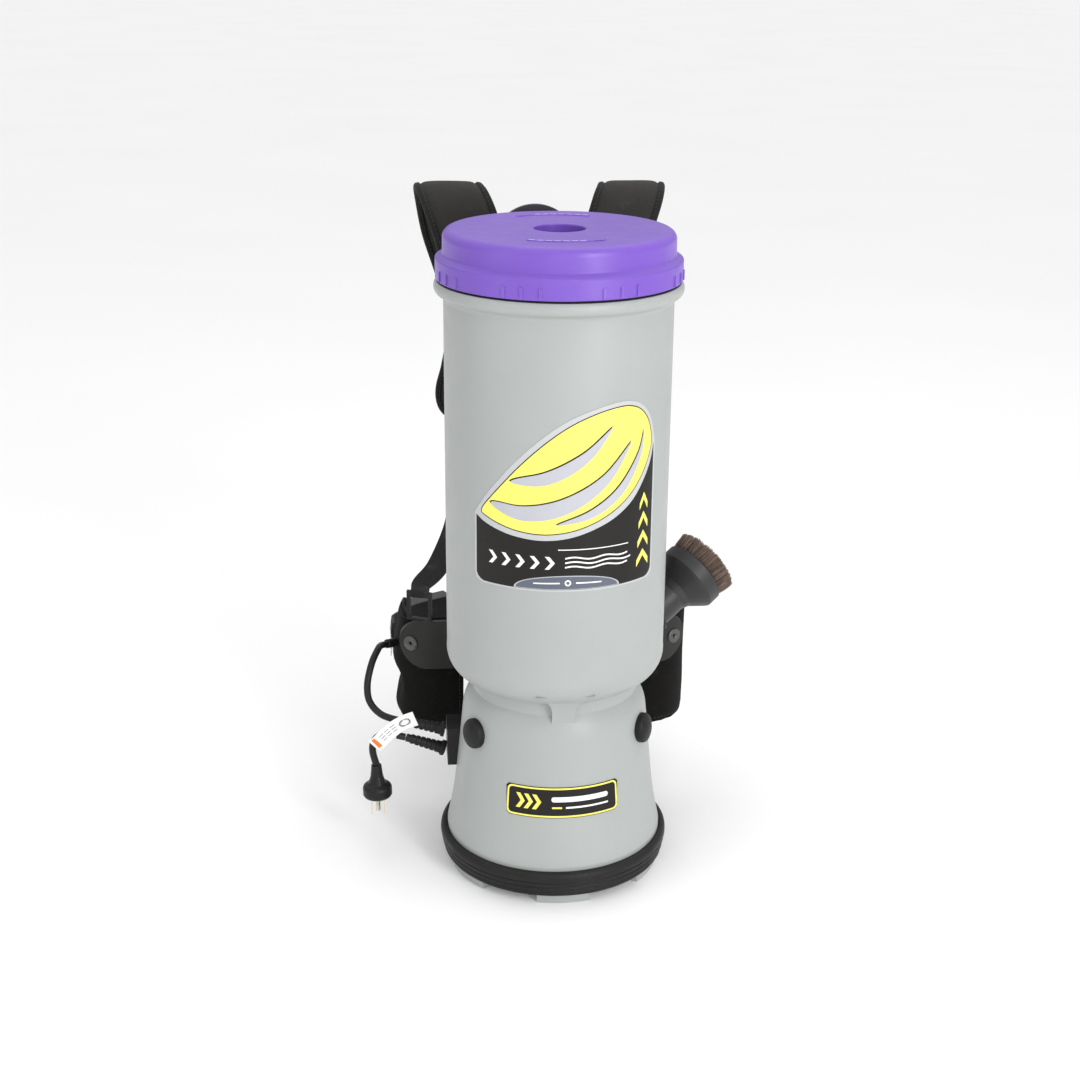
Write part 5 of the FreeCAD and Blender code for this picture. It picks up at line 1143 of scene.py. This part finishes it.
for side_, sign_ in (("left", -1.0), ("right", 1.0)):
    o = pads_w[side_]
    body_ = "waist_" + side_
    hem = offset_loop(outline_w, -6.6)
    quilt = [[(62, PZ0 + 30), (S_END - 26, PZ0 + 46)], [(62, PZ1 - 30), (S_END - 26, PZ1 - 46)]]
    finish_pad(o, [(lambda q, h=hem: loop_distance(q, h), 0.85, 2.6, 0)],
               [(lambda q, h=outline_w: loop_distance(q, h), 0.9, 9.0, 9.0), (lambda q: np.zeros(len(q)), 0.8, 1.0, 38.0)])
    place(o, body_, "pad_fabric", "waist_pad_" + side_)
    tw = hip(sign_)

    def ray_(a, b, k=1.0, tw=tw):
        p0 = tw(np.array([(a, b, k * 22.0)]))[0]
        p1 = tw(np.array([(a, b, 0.0)]))[0]
        return tuple(p0), tuple(p1 - p0)
    rows = []
    for k in (1.0, -1.0):
        P, Q = surface_line(o, dense(hem, 2.0), lambda a, b, k=k: ray_(a, b, k), 0.12)
        rows += seam_row(P, Q, 4.2, length=2.8, r=0.38)
    rows = on_cloth(rows, o)
    place(joined("waist_pad_stitching_" + side_, rows, THREAD), body_, "pad_fabric")
    piping("waist_pad_piping_" + side_, o, outline_w, 1.7, tw, body_)

border_b, border_l = outline_b, outline_l
chan_b = [[(x, 286 + B0), (x, 578 + B0)] for x in (-22.0, 22.0)]
chan_l = [[(-62, z + L0), (62, z + L0)] for z in (146.0, 180.0, 214.0)]
keep_b = lambda co: np.stack([co[:, 0], np.clip(co[:, 1], (YB0 + 0.3) * MM, (YB1 + 1.5) * MM), co[:, 2]], 1)
keep_l = lambda co: np.stack([co[:, 0], np.clip(co[:, 1], (YL0 + 0.3) * MM, (YL1 + 1.5) * MM), co[:, 2]], 1)
for nm, o, border, chans, keep, y1, part in (("back", back, border_b, chan_b, keep_b, YB1, "back_pad"), ("lumbar", lumbar, border_l, chan_l, keep_l, YL1, "lumbar_pad")):
    gr = [(lambda q, c=c: line_distance(q, c), 3.6, 3.6, 1) for c in chans]
    inner = offset_loop(border, -5.0)
    gr.append((lambda q, h=inner: loop_distance(q, h), 1.4, 3.0, 1))
    finish_pad(o, gr, [(lambda q, h=border: loop_distance(q, h), 1.2, 12.0, 11.0), (lambda q: np.zeros(len(q)), 1.1, 1.0, 34.0)], keep)
    place(o, "vacuum", "pad_fabric", part)
    rows = []
    from_front = lambda a, b: ((a, 260.0, b), (0, -1.0, 0))
    for c in chans:
        P, Q = surface_line(o, [tuple(q) for q in resample(np.array(c), 2.0, 2)[0]], from_front, 0.1)
        rows += seam_row(P, Q, 4.6, length=3.0, r=0.42)
    P, Q = surface_line(o, dense(inner, 2.0), from_front, 0.1)
    rows += seam_row(P, Q, 4.4, length=2.9, r=0.40)
    place(joined(nm + "_pad_stitching", rows, THREAD), "vacuum", "pad_fabric")
    piping(nm + "_pad_piping", o, border, 2.0, flat_y, "vacuum", n_level=(y1 - 10.0))

# ------------------------------------------------------------------ belt webbing

for side_, sign_ in (("left", -1.0), ("right", 1.0)):
    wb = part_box("waist_webbing_" + side_)
    dw = shift("waist_webbing_" + side_, (-163.6 if side_ == "left" else 48.0, 210.5, 127.5))
    x_e, y_e, nx_e, ny_e = on_line(np.array([S_END - 0.01]))
    o0 = np.array([x_e[0] + nx_e[0] * (TH / 2 + 2.4), y_e[0] + ny_e[0] * (TH / 2 + 2.4)])
    tgv = np.array([math.cos(ae_), math.sin(ae_)])
    c3 = []
    for q in (o0 - tgv * 22, o0 - tgv * 10, o0 + tgv * 4, (132, 268), (90, 291), (48, 298)):
        c3.append((sign_ * q[0] + dw[0], q[1] + dw[1], 150.0 + dw[2]))
    o = band("waist_webbing_band_" + side_, c3, 45.0, 2.2, "waist_" + side_, replaced=("waist_webbing_" + side_,), across=(0, 0, 1), sway=0.25, seed=sign_ * 9)
    if side_ == "left":
        for v in o.data.vertices:
            v.co.x += float(dent(v.co.z / MM)) * MM * float(1 - smooth01(v.co.y / MM, 226, 262)) * 0.9
    # box-and-cross stitching where the belt is sewn to the pad
    rows = []
    pc = np.array(c3)[:3]
    pc_r, _ = resample(catmull(pc, 8), 1.5)
    nrm_ = np.array([sign_ * nx_e[0], ny_e[0], 0.0])
    sel = pc_r[1:14]
    for dzv in (-18.0, 18.0):
        rows += seam_row([q + (0, 0, dzv) + nrm_ * 1.35 for q in sel], [nrm_] * len(sel), 3.4, length=2.4, r=0.36)
    for a_, b_ in ((0, -1), (-1, 0)):
        A = sel[a_] + np.array((0, 0, -18.0)) + nrm_ * 1.35
        B = sel[b_] + np.array((0, 0, 18.0)) + nrm_ * 1.35
        rows += seam_row([A, (A + B) / 2, B], [nrm_] * 3, 3.4, length=2.4, r=0.36)
    for q in (sel[0], sel[-1]):
        A, B = q + np.array((0, 0, -18.0)) + nrm_ * 1.35, q + np.array((0, 0, 18.0)) + nrm_ * 1.35
        rows += seam_row([A, (A + B) / 2, B], [nrm_] * 3, 3.4, length=2.4, r=0.36)
    place(joined("belt_stitching_" + side_, rows, THREAD), "waist_" + side_, "webbing")

# ------------------------------------------------------------------ bumper: ribs that step in towards the floor

bb0, bb1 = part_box("bumper_ring")
bz, bk = bb0.z / MM - 9.5, (bb1.x - bb0.x) / 2 / MM / 116.5
bump = [(109.5, 9.7), (109.5, 35.4), (110.2, 36.2), (112.0, 36.3), (114.2, 35.6), (115.8, 34.0), (116.5, 31.4)]
for k_, (r_, z_) in enumerate(((116.5, 30.2), (115.6, 24.9), (114.5, 19.6), (113.2, 14.3))):
    bump += [(r_, z_ - 0.2), (r_ + 0.0, z_ - 2.6), (r_ - 0.5, z_ - 3.5), (r_ - 1.7, z_ - 3.9), (r_ - 1.9, z_ - 4.4), (r_ - 1.6, z_ - 4.9)] if k_ < 3 else \
            [(r_, z_ - 0.2), (r_, z_ - 2.4), (r_ - 0.8, z_ - 3.9), (r_ - 2.2, z_ - 4.6)]
seg = 192
bv, bf = [], []
for i in range(seg):
    th = 2 * math.pi * i / seg
    for r, z in bump:
        scuff = 0.10 * noise.noise(Vector((math.cos(th) * 9, math.sin(th) * 9, z / 4.0))) * (r > 110)
        rr_ = r * bk - 0.12 + scuff
        bv.append((rr_ * math.cos(th), rr_ * math.sin(th), z + bz))
for i in range(seg):
    for j in range(len(bump)):
        a, b, k = i * len(bump), ((i + 1) % seg) * len(bump), (j + 1) % len(bump)
        bf.append((a + j, b + j, b + k, a + k))
o = make("bumper_ribbed_ring", bv, bf, M["black_rubber"], None, True, 45)
fix_normals(o)
place(o, "vacuum", "black_rubber", "bumper_ring")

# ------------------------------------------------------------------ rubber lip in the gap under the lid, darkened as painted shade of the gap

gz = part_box("lid_gasket")[0].z / MM - 617.1
lip = [(108.75, 600.9), (113.3, 600.75), (113.9, 601.1), (113.9, 602.0), (113.2, 602.35), (108.75, 602.35)]
seg = 160
lv, lf = [], []
for i in range(seg):
    th = 2 * math.pi * i / seg
    for r, z in lip:
        lv.append((r * math.cos(th), r * math.sin(th), z + gz))
for i in range(seg):
    for j in range(len(lip)):
        a, b, k = i * len(lip), ((i + 1) % seg) * len(lip), (j + 1) % len(lip)
        lf.append((a + j, b + j, b + k, a + k))
# near-black matte rubber: partly the real black gasket, partly painted shade in the gap under the lid
o = make("lid_gasket_lip_and_gap_shade", lv, lf, rubber("gasket_lip_rubber_and_gap_shade", (0.008, 0.008, 0.008), 0.9))
fix_normals(o)
place(o, "vacuum", "black_rubber")

# ------------------------------------------------------------------ dusting brush hair

random.seed(41)
dbr = shift("brush_bristles", (137.3, 69.9, 239.4))
AX = np.array([0.75, 0.40, 0.527])
AX /= np.linalg.norm(AX)
START = np.array([158.3, 100.0, 267.0]) - AX * 60.0 + dbr
E1 = np.cross(AX, [0, 0, 1.0])
E1 /= np.linalg.norm(E1)
E2 = np.cross(AX, E1)


def hub(t, r, th):
    return START + AX * t + (E1 * math.cos(th) + E2 * math.sin(th)) * r


hv, hf = [], []
tufts = []
for ring_r, count in ((26.6, 26), (29.2, 29), (31.8, 32)):
    for k in range(count):
        tufts.append((ring_r, 2 * math.pi * (k + random.uniform(-0.18, 0.18) + 0.37 * ring_r) / count, random.uniform(-1.0, 1.0), random.uniform(-0.06, 0.06)))
for tr, tth, lean, tilt in tufts:
    for _ in range(46):
        rr_ = tr + random.gauss(0, 0.75)
        th_ = tth + random.gauss(0, 1.5) / tr
        rr_ = min(33.0, max(25.3, rr_))
        fl = (rr_ - 25.3) / 7.7
        r1 = 25.6 + fl * 11.2 + lean * 0.5 + random.gauss(0, 0.55)
        r1 = min(37.3, max(25.2, r1))
        th1 = th_ + tilt * 0.7 + random.gauss(0, 0.018) + (th_ - tth) * 0.25
        t1 = 79.6 - abs(random.gauss(0, 0.8)) - (random.random() < 0.06) * random.uniform(0.5, 2.5)
        a, b = hub(59.0, rr_, th_), hub(t1, r1, th1)
        mid = (a + b) / 2 + (E1 * random.gauss(0, 0.35) + E2 * random.gauss(0, 0.35))
        d = (b - a) / np.linalg.norm(b - a)
        u = np.cross(d, [0.3, 0.5, 0.8])
        u /= np.linalg.norm(u)
        w = np.cross(d, u)
        k0 = len(hv)
        for c, rad in ((a, 0.36), (mid, 0.33), (b, 0.20)):
            for q in range(3):
                an = 2 * math.pi * q / 3
                hv.append(c + (u * math.cos(an) + w * math.sin(an)) * rad)
        for lv in range(2):
            for q in range(3):
                hf.append((k0 + lv * 3 + q, k0 + lv * 3 + (q + 1) % 3, k0 + lv * 3 + 3 + (q + 1) % 3, k0 + lv * 3 + 3 + q))
        hf.append((k0 + 2, k0 + 1, k0))
        hf.append((k0 + 6, k0 + 7, k0 + 8))
o = make("brush_hair", hv, hf, M["horsehair"], None, True)
place(o, "dust_brush", "horsehair", "brush_bristles")
# packed roots that close the ring behind the hairs; their dark brown is painted shade inside the hair bundle
prof = [(57.5, 25.2), (57.5, 33.2), (64.0, 33.4), (72.0, 34.6), (74.5, 34.0), (75.5, 31.0), (75.3, 28.5), (74.0, 26.2), (66.0, 25.0)]
seg = 72
rv, rf = [], []
for i in range(seg):
    th = 2 * math.pi * i / seg
    for t, r in prof:
        rv.append(hub(t, r + 0.5 * math.sin(th * 31) * (t > 60), th))
for i in range(seg):
    for j in range(len(prof)):
        a, b = i * len(prof), ((i + 1) % seg) * len(prof)
        k = (j + 1) % len(prof)
        rf.append((a + j, a + k, b + k, b + j))
o = make("brush_hair_roots_and_shade", rv, rf, plastic("hair_root_shadow", (0.045, 0.028, 0.02), 0.8, 0.3, (900.0, 0.8, 0.0008)), None, True)
fix_normals(o)
place(o, "dust_brush", "horsehair")

# ------------------------------------------------------------------ cords and tag

dc = shift("switch_cord", (-192.8, 20.5, 136.2))
cord_pts = [(-146.5, 24.0, 139.4), (-150.0, 24.2, 139.9), (-160.0, 28.0, 140.5), (-176.0, 38.0, 143.0), (-187.0, 50.0, 152.0), (-189.0, 62.0, 166.0), (-184.0, 75.0, 184.0),
            (-177.0, 92.0, 193.0), (-174.5, 110.0, 188.5), (-173.5, 127.0, 182.0), (-170.0, 140.0, 177.0), (-161.0, 151.0, 174.3), (-155.5, 154.5, 173.6)]
cord_pts = [tuple(np.array(q) + dc) for q in cord_pts]
o = tube("switch_cord_flex", cord_pts, 3.6, M["cord_jacket"], 16, 2.0)
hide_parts("switch_cord")
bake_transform(o)
# rubber sleeve where the cord goes into the pad
gp = np.array(cord_pts[-3:], float)
o = tube("switch_cord_sleeve", [(-168.6, 142.6, 176.5), (-165.0, 146.6, 175.4), (-158.2, 152.6, 174.0)], 4.9, M["black_rubber"], 18, 1.0, True)
place(o, "waist_left", "black_rubber")

# paper tag: stuck round the short cord, its flag hanging forward
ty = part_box("cord_tag")[0].y / MM
flag = [(-140.6, ty + 0.2, 147.0), (-152.0, ty + 0.6, 142.6), (-162.0, ty - 0.2, 137.6), (-171.0, ty + 0.5, 129.8), (-178.0, ty + 0.2, 122.4), (-183.6, ty + 0.9, 117.2)]
p, s = resample(catmull(flag, 12), 0.9)
tg = np.gradient(p, axis=0)
tg /= np.linalg.norm(tg, axis=1)[:, None]
cols_ = 23
tv, tf, tm = [], [], []
for i in range(len(p)):
    a = np.cross(tg[i], [0, 1.0, 0])
    a /= np.linalg.norm(a)
    for j in range(cols_):
        x = (j / (cols_ - 1) - 0.5) * 16.5
        lift_ = 0.55 * math.sin(s[i] / 9.0 + 0.5) + 0.020 * x * x * math.cos(s[i] / 15.0) * 0.4
        tv.append(p[i] + a * x + np.array([0, lift_, 0]))
n_, m_ = len(p), cols_
for i in range(n_ - 1):
    for j in range(m_ - 1):
        tf.append((i * m_ + j, i * m_ + j + 1, (i + 1) * m_ + j + 1, (i + 1) * m_ + j))
        u_, v_ = (i + 0.5) / (n_ - 1), (j + 0.5) / (m_ - 1)
        k = 0
        if 0.86 < u_ < 0.955 and 0.08 < v_ < 0.80:
            k = 1
        if 0.40 < u_ < 0.78 and (abs(v_ - 0.30) < 0.02 or abs(v_ - 0.48) < 0.02 or abs(v_ - 0.66) < 0.02) and (i // 2) % 4 != 3:
            k = 2
        e_ = math.hypot((u_ - 0.22) * 44 / 5.0, (v_ - 0.5) * 16.5 / 3.8)
        if 0.72 < e_ < 1.08:
            k = 2
        tm.append(k)
o = make("cord_tag_flag", tv, tf, [M["tag_paper"], INK_ORANGE, INK_TAG], [(v[0] / 10, v[2] / 10) for v in tv])
for poly, k in zip(o.data.polygons, tm):
    poly.material_index = k
sm = o.modifiers.new("paper", "SOLIDIFY")
sm.thickness = 0.28 * MM
sm.offset = 0
baked(o)
place(o, "vacuum", "tag_paper", "cord_tag")
sl = np.array([-12.0, 0, 2.0]) / math.hypot(12, 2)
sc_ = np.array([-165.9, 20.0, 128.25])
va, vb = np.array([0, 1.0, 0]), np.cross(sl, [0, 1.0, 0])
rings_ = []
for t_, r_ in ((-5.5, 3.75), (-5.5, 4.25), (-2, 4.4), (2, 4.4), (5.5, 4.25), (5.5, 3.75)):
    rings_.append([sc_ + sl * t_ + (va * math.cos(2 * math.pi * j / 28) + vb * math.sin(2 * math.pi * j / 28)) * (r_ + (0.12 * math.sin(5 * j) if r_ > 4 else 0)) for j in range(28)])
rings_.append(rings_[0])
m_ = 28
sv_ = [q for r in rings_[:-1] for q in r]
sf_ = []
for i in range(6):
    i2 = (i + 1) % 6
    for j in range(m_):
        sf_.append((i * m_ + j, i * m_ + (j + 1) % m_, i2 * m_ + (j + 1) % m_, i2 * m_ + j))
o = make("cord_tag_sleeve", sv_, sf_, M["tag_paper"], [(v[0] / 10, v[2] / 10) for v in sv_])
fix_normals(o)
place(o, "vacuum", "tag_paper")

# ------------------------------------------------------------------ studio

fl = bpy.data.meshes.new("studio_floor")
fl.from_pydata([(-14, -9, 0), (14, -9, 0), (14, 26, 0), (-14, 26, 0)], [], [(0, 1, 2, 3)])
floor = bpy.data.objects.new("studio_floor", fl)
floor.location = (0, 0, -0.0003)
SC.collection.objects.link(floor)
fm = Mat("studio_floor_paint")
fm.set(Base_Color=fm.mix(fm.span(fm.noise(1.2, 2.0, 0.5), 0.3, 0.7), (0.93, 0.93, 0.93), (0.95, 0.95, 0.95)), Roughness=0.9, Specular_IOR_Level=0.1)
fl.materials.append(fm.m)

world = bpy.data.worlds.new("studio_world")
SC.world = world
world.use_nodes = True
wt = world.node_tree
wt.nodes.clear()
wo = wt.nodes.new("ShaderNodeOutputWorld")
bg1, bg2 = wt.nodes.new("ShaderNodeBackground"), wt.nodes.new("ShaderNodeBackground")
bg1.inputs[0].default_value = (1, 1, 1, 1)
wc, wsep, wmap = wt.nodes.new("ShaderNodeTexCoord"), wt.nodes.new("ShaderNodeSeparateXYZ"), wt.nodes.new("ShaderNodeMapRange")
wt.links.new(wc.outputs["Generated"], wsep.inputs[0])
wt.links.new(wsep.outputs["Z"], wmap.inputs["Value"])
for key_, val_ in (("From Min", 0.0), ("From Max", 0.85), ("To Min", 0.34), ("To Max", 1.16)):
    wmap.inputs[key_].default_value = val_
wt.links.new(wmap.outputs["Result"], bg1.inputs[1])
bg2.inputs[0].default_value = (1, 1, 1, 1)
bg2.inputs[1].default_value = 1.0
lp, mx = wt.nodes.new("ShaderNodeLightPath"), wt.nodes.new("ShaderNodeMixShader")
wt.links.new(lp.outputs["Is Camera Ray"], mx.inputs[0])
wt.links.new(bg1.outputs[0], mx.inputs[1])
wt.links.new(bg2.outputs[0], mx.inputs[2])
wt.links.new(mx.outputs[0], wo.inputs[0])


def lamp(name, loc, target, size, watts, color=(1, 1, 1)):
    d = bpy.data.lights.new(name, "AREA")
    d.shape = "RECTANGLE"
    d.size, d.size_y = size
    d.energy = watts
    d.color = color
    o = bpy.data.objects.new(name, d)
    o.location = loc
    o.rotation_euler = (Vector(target) - Vector(loc)).to_track_quat("-Z", "Y").to_euler()
    SC.collection.objects.link(o)


lamp("key_softbox", (1.05, -1.95, 1.05), (0, 0, 0.33), (0.55, 1.5), 27)
lamp("fill_softbox", (-1.9, -1.0, 0.9), (0, 0, 0.35), (0.8, 1.5), 4)
lamp("top_softbox", (0.2, 0.5, 2.2), (0, 0, 0.4), (1.6, 1.4), 6)
lamp("front_glow", (-0.35, -2.6, 0.9), (0, 0, 0.35), (0.3, 1.6), 4)

AZ, PITCH, ROLL = math.radians(6.0), math.radians(19.6586), math.radians(0.655)
centre_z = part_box("lid")[1].z - 0.648
cam_d = bpy.data.cameras.new("photo_camera")
cam = bpy.data.objects.new("photo_camera", cam_d)
SC.collection.objects.link(cam)
SC.camera = cam
cam_d.lens, cam_d.sensor_width = 56.54, 36.0
cam_d.shift_x = -16.1 / 1080
cam_d.clip_start, cam_d.clip_end = 0.05, 60.0
fwd_h, right = Vector((math.sin(AZ), math.cos(AZ), 0)), Vector((math.cos(AZ), -math.sin(AZ), 0))
fwd = fwd_h * math.cos(PITCH) + Vector((0, 0, -math.sin(PITCH)))
upv = fwd_h * math.sin(PITCH) + Vector((0, 0, math.cos(PITCH)))
r2, u2 = right * math.cos(ROLL) + upv * math.sin(ROLL), -right * math.sin(ROLL) + upv * math.cos(ROLL)
cam.matrix_world = Matrix((
    (r2.x, u2.x, -fwd.x, -1.56736 * math.sin(AZ)),
    (r2.y, u2.y, -fwd.y, -1.56736 * math.cos(AZ)),
    (r2.z, u2.z, -fwd.z, 0.90252 + centre_z * 0.0),
    (0, 0, 0, 1)))
SC.view_settings.view_transform = "Standard"
SC.view_settings.look = "None"
